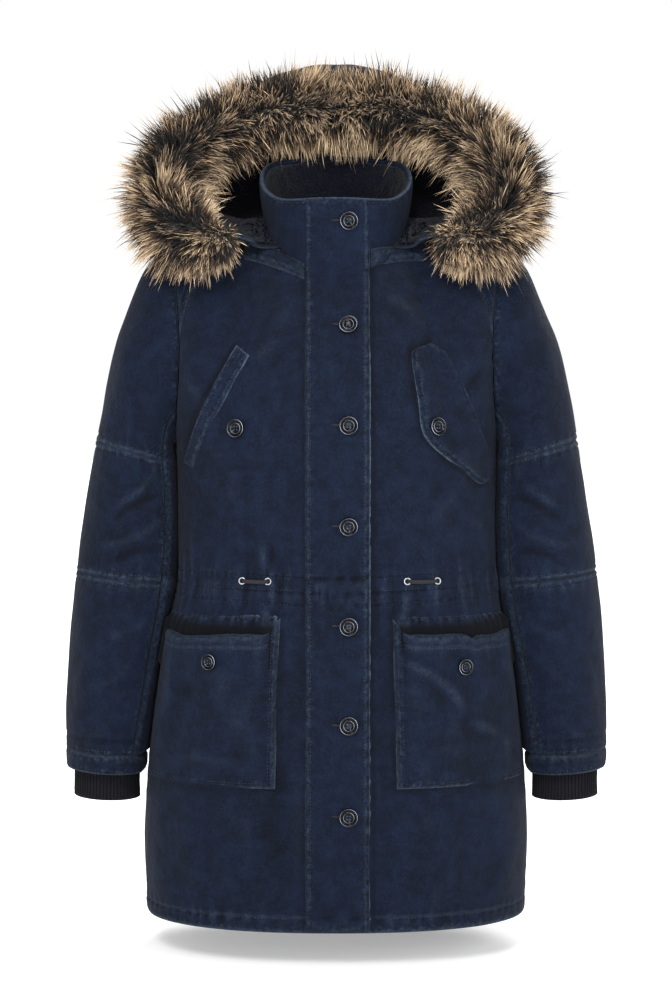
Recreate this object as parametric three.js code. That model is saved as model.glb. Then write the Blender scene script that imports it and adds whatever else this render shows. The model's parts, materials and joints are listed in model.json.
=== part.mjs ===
// A knee-length hooded parka in cotton twill, buttoned up and filled out as it hangs on a wearer's shoulders.
// Millimetres. +Z is up, the front faces -Y and +X is the wearer's left. The origin is where the shoulders carry
// it: on the centre line, midway between front and back, level with the outer ends of the shoulder seams.
//
// Every cloth piece is a wall: a grid of points on its outside, and the same grid moved in by its thickness. Pieces
// that meet at a seam share their seam points, so each stops half a seam gap short of the line between them.
import * as THREE from "three";

// Driving dimensions.
const CLOTH = 3; // twill with its wadding and lining
const PATCH = 2; // single twill, as on pockets and flaps
const COLLAR_CLOTH = 5;
const PILE = 2; // pile lining
const SEAM_GAP = 0.4;
const LIE_GAP = 1; // between a panel and what lies on it
const HEM_Z = -808;
const ARMPIT_Z = -222;
const NECK = { halfWidth: 84, front: 88, back: 72, frontZ: -22, sideZ: 46, napeZ: 60 };
const COLLAR = { halfWidth: 95, front: 100, back: 84, swell: 3 };
const SHOULDER_TIP = { x: 203, z: 14 };
const ARMHOLE = { lowX: 199, halfDepth: 78, dip: 11 };
const SLEEVE_TO_BODY = 4; // how far a hanging sleeve keeps from the body
const FUR_REACH = 46;
const BUTTON = { radius: 11.2, thickness: 4 };
const POCKET_BUTTON = { radius: 9.8, thickness: 4 };
const EYELET = { radius: 5.2, hole: 2.9, thickness: 1.6 };
const CORD = { width: 5, thickness: 2.4 };

const COLUMN = {
  // Shares of the way from the centre line (0) to the side seam (1) at which a panel has a column of points.
  frontEdge: 0.04,
  nearFront: [0.1, 0.18, 0.27],
  yokeStart: 0.36,
  neckSide: 0.42,
  backNeck: [0.1, 0.21, 0.32],
};
const SHOULDER_COLUMNS = [0, 0.2, 0.4, 0.6, 0.8, 1]; // shares of the shoulder seam

// Body sections from the hem up: half width, depth of the front and of the back, and how square the section is.
const BODY = [
  { z: -808, halfWidth: 237, front: 146, back: 142, square: 2.3 },
  { z: -720, halfWidth: 240, front: 148, back: 147, square: 2.3 },
  { z: -630, halfWidth: 236, front: 147, back: 151, square: 2.3 },
  { z: -545, halfWidth: 227, front: 144, back: 149, square: 2.3 },
  { z: -470, halfWidth: 216, front: 139, back: 138, square: 2.35 },
  { z: -400, halfWidth: 200, front: 134, back: 122, square: 2.4 },
  { z: -350, halfWidth: 197, front: 136, back: 120, square: 2.4 },
  { z: -285, halfWidth: 197, front: 142, back: 126, square: 2.4 },
  { z: -222, halfWidth: 199, front: 144, back: 133, square: 2.4 },
];

// Sleeve rings from the armhole to the hem: the ring's outer and inner ends, and its half depth to front and back.
const SLEEVE = [
  { outerX: 203, outerZ: 14, innerX: 199, innerZ: -222, front: 78, back: 78, dip: 11 },
  { outerX: 232, outerZ: -5, innerX: 202, innerZ: -232, front: 81, back: 82, dip: 6 },
  { outerX: 256, outerZ: -55, innerX: 201, innerZ: -239, front: 83, back: 85, dip: 2 },
  { outerX: 280, outerZ: -120, innerX: 199, innerZ: -245, front: 83, back: 85, dip: 0 },
  { outerX: 300, outerZ: -222, innerX: 196, innerZ: -252, front: 80, back: 82, dip: 0 },
  { outerX: 313, outerZ: -305, innerX: 192, innerZ: -324, front: 76, back: 78, dip: 0 },
  { outerX: 325, outerZ: -384, innerX: 196, innerZ: -400, front: 72, back: 74, dip: 0 },
  { outerX: 333, outerZ: -472, innerX: 212, innerZ: -483, front: 68, back: 68, dip: 0 },
  { outerX: 338, outerZ: -548, innerX: 226, innerZ: -556, front: 64, back: 63, dip: 0 },
  { outerX: 339, outerZ: -606, innerX: 236, innerZ: -613, front: 60, back: 59, dip: 0 },
  { outerX: 338, outerZ: -629, innerX: 237, innerZ: -637, front: 59, back: 58, dip: 0 },
];
const RING = { armhole: 0, elbowTop: 4, elbowBottom: 6, bandTop: 9, hem: 10 };
const RING_STEP = 22.5; // degrees between a sleeve's columns
const UNDER_SLEEVE = { from: 135, to: 225 }; // degrees round the sleeve from its outer side, by way of the front
const CUFF = [
  { z: -606, halfWidth: 45.5, halfDepth: 54 },
  { z: -622, halfWidth: 38, halfDepth: 44 },
  { z: -645, halfWidth: 36.5, halfDepth: 42 },
  { z: -667, halfWidth: 37, halfDepth: 43 },
];
const CUFF_CENTRE = { x: 287.5, slope: 0.06 };

// Rise of the yoke seam, as a share of the way from armpit to shoulder, at each shoulder column.
const YOKE_SEAM = [1, 0.84, 0.79, 0.76, 0.66, 0.5];

// Collar's top edge: its height at angles round the neck from the centre front.
const COLLAR_TOP = { angle: [0, 45, 70, 90, 120, 180], z: [68, 70, 86, 106, 128, 142] };

// Fur line from the top of the hood (0) to its front end (1), and the way from it to the hood's cloth.
const FUR_LINE = [
  { s: 0, x: 0, y: 66, z: 192, toHood: [0, 0.75, 0.66] },
  { s: 0.2, x: 72, y: 62, z: 193, toHood: [0.15, 0.82, 0.52] },
  { s: 0.38, x: 143, y: 47, z: 172, toHood: [0.2, 0.9, 0.35] },
  { s: 0.55, x: 194, y: 16, z: 132, toHood: [0.05, 0.95, 0.2] },
  { s: 0.68, x: 212, y: -24, z: 84, toHood: [-0.45, 0.85, 0.2] },
  { s: 0.8, x: 198, y: -66, z: 44, toHood: [-0.75, 0.6, 0.25] },
  { s: 0.9, x: 165, y: -92, z: 22, toHood: [-0.8, 0.55, 0.2] },
  { s: 1, x: 128, y: -103, z: 16, toHood: [-0.85, 0.5, 0] },
];
// Hood ribs run from the neck seam to the fur on a cubic curve; these are its two middle control points.
const HOOD_RIBS = [
  { s: 0, low: [0, 215, -50], high: [0, 225, 372] },
  { s: 0.25, low: [95, 195, -30], high: [118, 205, 325] },
  { s: 0.5, low: [150, 130, 5], high: [215, 150, 190] },
  { s: 0.75, low: [140, 30, 38], high: [180, 15, 75] },
  { s: 1, low: [92, -58, 8], high: [97, -68, 10] },
];
const HOOD_ANGLE = 128; // how far round the neck the hood reaches from the nape, in degrees
const HOOD_COLUMNS = [0.13, 0.27, 0.4, 0.53, 0.65, 0.76, 0.88, 1]; // the first is the edge of the centre strip
const ZIP = { gap: 0.8, tape: 2, from: 3, to: 12 };

// Places on the front as seen from ahead: x to the wearer's left, z up.
const PLACKET = { left: -37, right: 41, top: 68 };
const PLACKET_BUTTONS = { x: 15, z: [40, -86, -205, -324, -443, -560, -668] };
const PATCH_POCKET = { inner: 0.165, outer: 0.84, top: -449, bottom: -636, gape: 17, seat: 1.2 };
const POCKET_FLAP = { top: -430, bottom: -500 };
const POCKET_BUTTON_AT = { right: [-150, -486], left: [153, -492] };
const WELT = [
  { outerX: -119, outerZ: -108, innerX: -104, innerZ: -121 },
  { outerX: -139, outerZ: -141, innerX: -121, innerZ: -154 },
  { outerX: -157, outerZ: -175, innerX: -138, innerZ: -186 },
  { outerX: -173, outerZ: -212, innerX: -155, innerZ: -220 },
  { outerX: -185, outerZ: -252, innerX: -171, innerZ: -257 },
];
const CHEST_FLAP = [
  { hingeX: 131, hingeZ: -115, edgeX: 114, edgeZ: -104 },
  { hingeX: 140, hingeZ: -131, edgeX: 90, edgeZ: -115 },
  { hingeX: 149, hingeZ: -149, edgeX: 88, edgeZ: -128 },
  { hingeX: 158, hingeZ: -167, edgeX: 95, edgeZ: -172 },
  { hingeX: 167, hingeZ: -187, edgeX: 104, edgeZ: -217 },
  { hingeX: 176, hingeZ: -208, edgeX: 136, edgeZ: -248 },
  { hingeX: 184, hingeZ: -230, edgeX: 172, edgeZ: -276 },
  { hingeX: 189, hingeZ: -246, edgeX: 187, edgeZ: -262 },
];
const CHEST_BUTTONS = { right: [-118, -208], left: [119, -206] };
const EYELETS = { right: [-112, -81], left: [85, 121], z: -390 };

const vec = (x, y, z) => new THREE.Vector3(x, y, z);
const radians = THREE.MathUtils.degToRad;
const lerp = THREE.MathUtils.lerp;
const steps = (from, to, count) => Array.from({ length: count + 1 }, (_, i) => from + ((to - from) * i) / count);

// Value at x of the smooth curve through (xs, ys): cubic pieces whose slopes are those between the neighbours.
function smooth(xs, ys, x) {
  let i = 0;
  while (i < xs.length - 2 && x > xs[i + 1]) i++;
  const slope = (k) => {
    const a = Math.max(k - 1, 0);
    const b = Math.min(k + 1, xs.length - 1);
    return (ys[b] - ys[a]) / (xs[b] - xs[a]);
  };
  const width = xs[i + 1] - xs[i];
  const t = (x - xs[i]) / width;
  const tt = t * t;
  const ttt = tt * t;
  return (
    ys[i] * (2 * ttt - 3 * tt + 1) +
    slope(i) * width * (ttt - 2 * tt + t) +
    ys[i + 1] * (3 * tt - 2 * ttt) +
    slope(i + 1) * width * (ttt - tt)
  );
}

const column = (table, key) => table.map((row) => row[key]);
const along = (table, by, key, x) => smooth(column(table, by), column(table, key), x);

// --- The body's surface -------------------------------------------------------------------------------------------

// Point of the neck seam at an angle from the centre front; 180 is the nape.
function neck(angle) {
  const a = radians(Math.abs(angle));
  const x = NECK.halfWidth * Math.sin(a) * Math.sign(angle || 1);
  if (Math.abs(angle) <= 90) {
    return vec(x, -NECK.front * Math.cos(a), lerp(NECK.sideZ, NECK.frontZ, Math.cos(a)));
  }
  return vec(x, -NECK.back * Math.cos(a), lerp(NECK.napeZ, NECK.sideZ, Math.sin(a)));
}

// Point of the armhole at an angle from the shoulder tip; 90 is the middle of its front and 180 the armpit.
function armhole(angle, facing) {
  const a = radians(angle);
  const midX = (SHOULDER_TIP.x + ARMHOLE.lowX) / 2;
  const midZ = (SHOULDER_TIP.z + ARMPIT_Z) / 2;
  return vec(
    midX + (SHOULDER_TIP.x - midX) * Math.cos(a) - ARMHOLE.dip * Math.sin(a) ** 2,
    facing * ARMHOLE.halfDepth * Math.sin(a),
    midZ + (SHOULDER_TIP.z - midZ) * Math.cos(a),
  );
}

// Body section at height z: a superellipse. share runs from the centre line to the side seam.
function section(share, z, facing) {
  const a = (Math.abs(share) * Math.PI) / 2;
  const power = 2 / along(BODY, "z", "square", z);
  const depth = along(BODY, "z", facing < 0 ? "front" : "back", z);
  return vec(
    Math.sign(share || 1) * along(BODY, "z", "halfWidth", z) * Math.sin(a) ** power,
    facing * depth * Math.abs(Math.cos(a)) ** power,
    z,
  );
}

// Top edge of the front or back: the neck seam, then the straight shoulder seam.
function topEdge(share, facing) {
  if (share <= COLUMN.neckSide) {
    const turn = (90 * share) / COLUMN.neckSide;
    return neck(facing < 0 ? turn : 180 - turn);
  }
  const t = (share - COLUMN.neckSide) / (1 - COLUMN.neckSide);
  return neck(90).lerp(armhole(0, facing), t);
}

// Centre line from the armpit's level to the neck: a parabola that keeps the chest and shoulder blades full.
function centreLine(rise, facing) {
  const low = section(0, ARMPIT_Z, facing);
  const high = topEdge(0, facing);
  const full = facing < 0 ? vec(0, -143, -112) : vec(0, 148, -60);
  return low.lerp(full.clone(), rise).lerp(full.lerp(high, rise), rise);
}

// Upper front or back: the Coons patch between the section at the armpit, the top edge, the centre line and the
// armhole. rise runs from the armpit's level (0) to the top edge (1).
function upper(share, rise, facing) {
  const s = Math.abs(share);
  const bottom = section(s, ARMPIT_Z, facing);
  const top = topEdge(s, facing);
  const point = bottom.multiplyScalar(1 - rise).addScaledVector(top, rise);
  point.addScaledVector(centreLine(rise, facing), 1 - s);
  point.addScaledVector(armhole(180 * (1 - rise), facing), s);
  point.addScaledVector(section(0, ARMPIT_Z, facing), -(1 - s) * (1 - rise));
  point.addScaledVector(section(1, ARMPIT_Z, facing), -s * (1 - rise));
  point.addScaledVector(topEdge(0, facing), -(1 - s) * rise);
  point.addScaledVector(topEdge(1, facing), -s * rise);
  if (share < 0) point.x *= -1;
  return point;
}

// Body point: height runs from the hem (0) by way of the armpit's level (1) to the top edge (2).
function body(share, height, facing) {
  if (height <= 1) return section(share, lerp(HEM_Z, ARMPIT_Z, height), facing);
  return upper(share, height - 1, facing);
}

// What is met on looking from ahead (or straight down) at some pieces: the point and the way out of its face. A look
// from ahead that slips through a seam's gap is tried again a little to the side.
function seen(pieces, x, other, down = false) {
  for (const aside of [0, 0.7, -0.7]) {
    const from = down ? vec(x + aside, other, 900) : vec(x + aside, -900, other);
    const hit = new THREE.Raycaster(from, down ? vec(0, 0, -1) : vec(0, 1, 0)).intersectObjects(pieces)[0];
    if (hit && (down || hit.point.y < 0)) return { point: hit.point.setX(x), normal: hit.face.normal };
  }
}

// Lays a grid of points over pieces seen from ahead (or from above): wherever a cell comes nearer than a gap, its
// corners are moved away.
function laid(grid, pieces, gap, down = false) {
  const axis = down ? "z" : "y";
  const away = down ? 1 : -1;
  const shares = [0, 0.25, 0.5, 0.75, 1];
  for (let turn = 0; turn < 3; turn++) {
    for (let i = 0; i < grid.length - 1; i++) {
      for (let j = 0; j < grid[0].length - 1; j++) {
        const [a, b, c, d] = [grid[i][j], grid[i][j + 1], grid[i + 1][j], grid[i + 1][j + 1]];
        let short = 0;
        for (const u of shares) {
          for (const v of shares) {
            const p = a.clone().lerp(b, u).lerp(c.clone().lerp(d, u), v);
            const met = seen(pieces, p.x, down ? p.y : p.z, down);
            if (met) short = Math.max(short, gap - away * (p[axis] - met.point[axis]));
          }
        }
        for (const p of [a, b, c, d]) p[axis] += away * short;
      }
    }
  }
  return grid;
}

// --- Solids -------------------------------------------------------------------------------------------------------

// Closed solid between two grids of the same size. A tube's last column joins its first.
function between(outer, inner, tube = false) {
  const rows = outer.length;
  const columns = outer[0].length;
  const all = [...outer.flat(), ...inner.flat()];
  const faces = [];
  const at = (layer, i, j) => layer * rows * columns + i * columns + (j % columns);
  const quad = (a, b, c, d) => faces.push(a, b, c, a, c, d);
  // An edge's faces are split from its higher outer corner, so that two pieces split their shared seam alike.
  const height = (k) => all[k].z + 0.37 * all[k].y + 0.11 * Math.abs(all[k].x);
  const edge = (a, b, c, d) => (height(a) > height(b) ? quad(a, b, c, d) : quad(b, c, d, a));
  for (let i = 0; i < rows - 1; i++) {
    for (let j = 0; j < (tube ? columns : columns - 1); j++) {
      quad(at(0, i, j), at(0, i, j + 1), at(0, i + 1, j + 1), at(0, i + 1, j));
      quad(at(1, i, j), at(1, i + 1, j), at(1, i + 1, j + 1), at(1, i, j + 1));
    }
    if (!tube) {
      edge(at(0, i, 0), at(0, i + 1, 0), at(1, i + 1, 0), at(1, i, 0));
      edge(at(0, i + 1, columns - 1), at(0, i, columns - 1), at(1, i, columns - 1), at(1, i + 1, columns - 1));
    }
  }
  for (let j = 0; j < (tube ? columns : columns - 1); j++) {
    edge(at(0, 0, j + 1), at(0, 0, j), at(1, 0, j), at(1, 0, j + 1));
    edge(at(0, rows - 1, j), at(0, rows - 1, j + 1), at(1, rows - 1, j + 1), at(1, rows - 1, j));
  }
  return facingOut(all.flatMap((p) => [p.x, p.y, p.z]), faces);
}

// Geometry of points and triangles, turned so that its faces point out.
function facingOut(points, faces) {
  let volume = 0;
  const p = (i) => vec(points[3 * i], points[3 * i + 1], points[3 * i + 2]);
  for (let i = 0; i < faces.length; i += 3) volume += p(faces[i]).dot(p(faces[i + 1]).cross(p(faces[i + 2])));
  if (volume < 0) for (let i = 0; i < faces.length; i += 3) [faces[i], faces[i + 1]] = [faces[i + 1], faces[i]];
  return new THREE.BufferGeometry()
    .setAttribute("position", new THREE.Float32BufferAttribute(points, 3))
    .setIndex(faces);
}

// Unit normals of a grid of points. turn is 1 where columns crossed with rows point out, and -1 where they point in.
function gridNormals(grid, turn, tube) {
  const columns = grid[0].length;
  return grid.map((row, i) =>
    row.map((_, j) => {
      const before = tube ? (j + columns - 1) % columns : Math.max(j - 1, 0);
      const after = tube ? (j + 1) % columns : Math.min(j + 1, columns - 1);
      const across = row[after].clone().sub(row[before]);
      const up = grid[Math.min(i + 1, grid.length - 1)][j].clone().sub(grid[Math.max(i - 1, 0)][j]);
      return across.cross(up).normalize().multiplyScalar(turn);
    }),
  );
}

let sewn = []; // cloth pieces whose seams are shared
const parka = new THREE.Group();

function cloth(name, material, grid, turn, { thickness = CLOTH, tube = false, normals } = {}) {
  sewn.push({ name, material, grid, tube, thickness, normals: normals || gridNormals(grid, turn, tube) });
}

// Gives seam points that several pieces share one normal, unless the cloth folds back on itself there, then turns
// each piece into a wall that stops half a seam gap short of its edges.
function sewUp() {
  const shared = new Map();
  const key = (p) => [p.x, p.y, p.z].map((v) => Math.round(v * 20)).join();
  const each = (visit) =>
    sewn.forEach(({ grid, normals }) => grid.forEach((row, i) => row.forEach((p, j) => visit(p, normals[i], j))));
  each((p, row, j) => {
    const k = key(p);
    shared.set(k, [...(shared.get(k) || []), row[j].clone()]);
  });
  each((p, row, j) => {
    const own = row[j].clone();
    const sum = vec(0, 0, 0);
    shared.get(key(p)).forEach((n) => n.dot(own) > 0.05 && sum.add(n));
    row[j].copy(sum.normalize());
  });
  for (const { name, material, grid, tube, thickness, normals } of sewn) {
    const outer = pulledIn(grid, tube);
    const inner = outer.map((row, i) => row.map((p, j) => p.clone().addScaledVector(normals[i][j], -thickness)));
    add(name, material, between(outer, inner, tube));
  }
  sewn = [];
  parka.updateMatrixWorld(true);
}

// The grid with its edge points moved half a seam gap towards their inner neighbours.
function pulledIn(grid, tube) {
  const rows = grid.length;
  const columns = grid[0].length;
  const towards = (p, q) => q.clone().sub(p).normalize().multiplyScalar(SEAM_GAP / 2);
  return grid.map((row, i) =>
    row.map((p, j) => {
      const moved = p.clone();
      if (i === 0) moved.add(towards(p, grid[1][j]));
      if (i === rows - 1) moved.add(towards(p, grid[rows - 2][j]));
      if (!tube && j === 0) moved.add(towards(p, row[1]));
      if (!tube && j === columns - 1) moved.add(towards(p, row[columns - 2]));
      return moved;
    }),
  );
}

function add(name, material, geometry) {
  const mesh = new THREE.Mesh(geometry, material);
  mesh.name = name;
  parka.add(mesh);
  return mesh;
}

const finish = (color, roughness, metalness = 0) => new THREE.MeshStandardMaterial({ color, roughness, metalness });
const TWILL = finish(0x1f2b42, 0.85);
const PILE_BLACK = finish(0x0b0d14, 1);
const RIB = finish(0x15161b, 0.9);
const FUR = finish(0x8a6c4a, 1);
const HORN = finish(0x14161f, 0.25);
const NICKEL = finish(0xb9bcc2, 0.3, 1);
const BRASS = finish(0xa08a55, 0.35, 1);
const BRAID = finish(0x17131a, 0.8);

// --- Body panels --------------------------------------------------------------------------------------------------

const bodyHeights = BODY.map((row) => (row.z - HEM_Z) / (ARMPIT_Z - HEM_Z));
const yokeShares = SHOULDER_COLUMNS.map((t) => lerp(COLUMN.yokeStart, 1, t));

function front(name, side, edgeShares) {
  const shares = [...edgeShares, ...COLUMN.nearFront, ...yokeShares];
  const top = (share) => (share < COLUMN.yokeStart ? 1 : smoothSeam(share));
  const grid = bodyHeights.map((height) => shares.map((share) => body(share, height, -1)));
  for (const step of [0.25, 0.5, 0.75, 1]) {
    grid.push(shares.map((share) => body(share, 1 + step * top(share), -1)));
  }
  cloth(name, TWILL, mirrored(grid, side), side);
}

const smoothSeam = (share) => smooth(yokeShares, YOKE_SEAM, share);
const mirrored = (grid, side) => grid.map((row) => row.map((p) => vec(side * p.x, p.y, p.z)));

// Shoulder piece between the yoke seam and the shoulder seam.
function yoke(name, side) {
  const grid = [0, 0.25, 0.5, 0.75, 1].map((t) =>
    SHOULDER_COLUMNS.map((s, j) => {
      const share = lerp(yokeShares[j], lerp(COLUMN.neckSide, 1, s), t);
      return body(share, 1 + lerp(YOKE_SEAM[j], 1, t), -1);
    }),
  );
  cloth(name, TWILL, mirrored(grid, side), side);
}

function back() {
  const half = [0, ...COLUMN.backNeck, ...SHOULDER_COLUMNS.map((t) => lerp(COLUMN.neckSide, 1, t))];
  const shares = [...half.slice(1).reverse().map((s) => -s), ...half];
  const heights = [...bodyHeights, ...steps(1, 2, 8).slice(1)];
  cloth("back", TWILL, heights.map((height) => shares.map((share) => body(share, height, 1))), -1);
}

// --- Sleeves ------------------------------------------------------------------------------------------------------

// Point of a sleeve at a ring (a whole number or between two) and an angle from its outer side by way of the front.
function sleeve(ring, angle, side, out = 0) {
  const rings = SLEEVE.map((_, i) => i);
  const value = (key) => smooth(rings, column(SLEEVE, key), ring);
  const a = radians(angle);
  const reach = Math.cos(a) / 2;
  const depth = (Math.sin(a) > 0 ? value("front") : value("back")) + out;
  const span = vec(value("outerX") - value("innerX"), 0, value("outerZ") - value("innerZ"));
  const point = vec((value("outerX") + value("innerX")) / 2, 0, (value("outerZ") + value("innerZ")) / 2);
  point.addScaledVector(span, reach * (1 + (2 * out) / span.length()));
  point.x -= value("dip") * Math.sin(a) ** 2;
  point.y -= depth * Math.sin(a);
  point.x = Math.max(point.x, bodySide(point) + (ring > 0 ? SLEEVE_TO_BODY - out : 0));
  return vec(side * point.x, point.y, point.z);
}

// Half width of the body at a point's height and depth, or 0 where the point is above the armpit or clear of it.
function bodySide({ y, z }) {
  if (z > ARMPIT_Z - 1) return 0;
  const depth = along(BODY, "z", y < 0 ? "front" : "back", z);
  const square = along(BODY, "z", "square", z);
  return along(BODY, "z", "halfWidth", z) * Math.max(0, 1 - (Math.abs(y) / depth) ** square) ** (1 / square);
}

function sleeves(word, side) {
  const round = steps(0, 360 - RING_STEP, 360 / RING_STEP - 1);
  const whole = SLEEVE.map((_, ring) => round.map((angle) => sleeve(ring, angle, side)));
  const normals = gridNormals(whole, side, true);
  const piece = (name, fromRing, toRing, from, to) => {
    const columns = steps(from, to, (to - from) / RING_STEP).map((angle) => (angle / RING_STEP + round.length) % round.length);
    const part = (table) =>
      table.slice(fromRing, toRing + 1).map((row) => columns.map((j) => row[j].clone()));
    cloth(`${name}_${word}`, TWILL, part(whole), side, { normals: part(normals) });
  };
  const { armhole: top, elbowTop, elbowBottom, bandTop, hem } = RING;
  const { from: underFrom, to: underTo } = UNDER_SLEEVE;
  piece("sleeve_upper", top, elbowTop, underTo - 360, underFrom);
  piece("elbow_panel", elbowTop, elbowBottom, underTo - 360, underFrom);
  piece("sleeve_lower", elbowBottom, bandTop, underTo - 360, underFrom);
  piece("under_sleeve", top, bandTop, underFrom, underTo);
  cloth(`sleeve_hem_${word}`, TWILL, whole.slice(bandTop, hem + 1), side, { tube: true });
  cuff(`rib_cuff_${word}`, side, round);
}

// Knitted cuff: it starts wide, sewn inside the sleeve above its hem, and hangs below it.
function cuff(name, side, round) {
  const grid = CUFF.map(({ z, halfWidth, halfDepth }) =>
    round.map((angle) => {
      const x = halfWidth * Math.cos(radians(angle));
      return vec(side * (CUFF_CENTRE.x + x), -halfDepth * Math.sin(radians(angle)), z + CUFF_CENTRE.slope * x);
    }),
  );
  cloth(name, RIB, grid, side, { tube: true });
}

// --- Collar -------------------------------------------------------------------------------------------------------

// Point of the collar at an angle round the neck and a share of its height.
function collarPoint(angle, share) {
  const a = Math.abs(angle);
  const depth = a <= 90 ? COLLAR.front : COLLAR.back;
  const top = vec(
    COLLAR.halfWidth * Math.sin(radians(a)) * Math.sign(angle || 1),
    -depth * Math.cos(radians(a)),
    smooth(COLLAR_TOP.angle, COLLAR_TOP.z, a),
  );
  const point = neck(angle).lerp(top, share);
  const swell = 4 * COLLAR.swell * share * (1 - share);
  return point.add(vec(point.x, point.y, 0).normalize().multiplyScalar(swell));
}

const neckAngle = (share) => (90 * share) / COLUMN.neckSide;
const sideAngles = [
  ...[...COLUMN.nearFront, COLUMN.yokeStart, COLUMN.neckSide].map(neckAngle),
  ...[...COLUMN.backNeck].reverse().map((share) => 180 - neckAngle(share)),
];

function collar() {
  const edge = neckAngle(COLUMN.frontEdge);
  const angles = [-edge, edge, ...sideAngles, 180, ...[...sideAngles].reverse().map((a) => -a), -edge * 1.15];
  const grid = steps(0, 1, 4).map((share) => angles.map((a) => collarPoint(a, share)));
  cloth("collar", TWILL, grid, 1, { thickness: COLLAR_CLOTH });
}

// Pile lining on the inside of the collar, away from its front ends.
function collarLining() {
  const angles = [...sideAngles.slice(1), 180, ...[...sideAngles.slice(1)].reverse().map((a) => -a)];
  const inward = (angle, share, depth) => {
    const p = collarPoint(angle, share);
    const n = vec(-p.x, -p.y, 0).normalize();
    return p.addScaledVector(n, depth);
  };
  const layer = (depth) => [0.12, 0.4, 0.66, 0.92].map((share) => angles.map((a) => inward(a, share, depth)));
  const near = COLLAR_CLOTH + LIE_GAP;
  add("collar_lining", PILE_BLACK, between(layer(near), layer(near + PILE)));
}

// --- Pieces that lie on the front ---------------------------------------------------------------------------------

// Strip laid on pieces seen from ahead: rows of x and z, from one edge to the other.
function strip(name, material, rows, pieces, { gap = LIE_GAP, thickness = PATCH } = {}) {
  const back = rows.map((row) => row.map(([x, z]) => {
    const met = seen(pieces, x, z);
    return vec(x, (met ? met.point.y : 0) - gap, z);
  }));
  if (back[0].length > 1) laid(back, pieces, gap);
  const normals = gridNormals(back, 1, false);
  const turn = Math.sign(-normals[1][0].y);
  const face = back.map((row, i) => row.map((p, j) => p.clone().addScaledVector(normals[i][j], turn * thickness)));
  return add(name, material, between(face, back));
}

function placket() {
  const heights = [...column(BODY, "z").slice(1), -165, -120, -80, -50, -24, 0, 30];
  const rows = [HEM_Z + 0.5, ...heights, PLACKET.top - 1].map((z) =>
    steps(PLACKET.left, PLACKET.right, 4).map((x) => [x, z]),
  );
  strip("placket", TWILL, rows, pieces("front_right", "front_left", "collar"), { gap: 0.7 });
}

const pieces = (...names) => names.map((name) => parka.getObjectByName(name));

// Patch pocket: sewn on at its sides and bottom, it stands off the coat towards its open top edge.
function patchPocket(name, side) {
  const { inner, outer, top, bottom, gape, seat } = PATCH_POCKET;
  const across = [0, 0.06, 0.2, 0.4, 0.6, 0.8, 0.94, 1];
  const down = [0, 0.05, 0.2, 0.4, 0.65, 0.9, 1];
  const layer = (thick) =>
    down.map((t) =>
      across.map((s) => {
        const z = lerp(bottom, top, t);
        const share = lerp(inner, outer, s);
        const puff = Math.min(1, 5 * s * (1 - s)) * Math.min(1, t * 4) * lerp(0.45, 1, t);
        return offBody(share, z, seat + puff * (gape - seat) + thick, side);
      }),
    );
  add(name, TWILL, between(layer(PATCH), layer(0)));
}

// Point of the front below the armpit, moved out along the section's normal.
function offBody(share, z, out, side) {
  const nudge = 1e-4;
  const point = section(share, z, -1);
  const across = section(share + nudge, z, -1).sub(section(share - nudge, z, -1));
  const up = section(share, z + 1, -1).sub(section(share, z - 1, -1));
  point.addScaledVector(across.cross(up).normalize(), out);
  return vec(side * point.x, point.y, point.z);
}

// Pocket flap, tucked down behind the pocket's open edge.
function pocketFlap(name, side) {
  const { inner, outer } = PATCH_POCKET;
  const shares = steps(inner + 0.035, outer - 0.03, 6);
  const heights = steps(POCKET_FLAP.bottom, POCKET_FLAP.top, 2);
  const layer = (out) => heights.map((z) => shares.map((share) => offBody(share, z, out, side)));
  add(name, TWILL, between(layer(LIE_GAP + PATCH), layer(LIE_GAP)));
}

function welt() {
  const rows = WELT.map((r) => [0, 0.5, 1].map((t) => [lerp(r.outerX, r.innerX, t), lerp(r.outerZ, r.innerZ, t)]));
  strip("chest_welt_right", TWILL, rows, pieces("front_right"), { gap: 0.5 });
}

function chestFlap() {
  const rows = CHEST_FLAP.map((r) =>
    steps(0, 1, 3).map((t) => [lerp(r.hingeX, r.edgeX, t), lerp(r.hingeZ, r.edgeZ, t)]),
  );
  strip("chest_flap_left", TWILL, rows, pieces("front_left"), { gap: 0.5 });
}

// --- Buttons, eyelets and waist cord ------------------------------------------------------------------------------

// Lathed piece set flat on pieces seen from ahead, as near as its rim lets it.
function seated(name, material, profile, segments, [x, z], on, gap = 0.3) {
  const turned = profile.map(([px, py]) => new THREE.Vector2(px, py));
  const mesh = add(name, material, new THREE.LatheGeometry(turned, segments));
  const reach = Math.max(...profile.map(([px]) => px));
  const round = steps(0, 2 * Math.PI, 8).slice(1);
  const near = round.map((a) => seen(on, x + reach * Math.cos(a), z + reach * Math.sin(a))).filter(Boolean);
  const normal = near.reduce((sum, met) => sum.add(met.normal), vec(0, 0, 0)).normalize();
  const { point } = seen(on, x, z);
  const lift = Math.max(0, ...near.map((met) => met.point.clone().sub(point).dot(normal)));
  mesh.quaternion.setFromUnitVectors(vec(0, 1, 0), normal);
  mesh.position.copy(point).addScaledVector(normal, lift + gap);
  mesh.updateMatrixWorld(true);
}

// Round button with a raised rim round its dished middle.
function button(name, { radius: r, thickness: t }, place, on, gap) {
  const profile = [[0, 0], [r * 0.78, 0], [r, t * 0.5], [r * 0.86, t], [r * 0.62, t], [r * 0.5, t * 0.6], [0, t * 0.6]];
  seated(name, HORN, profile, 12, place, on, gap);
}

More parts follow.
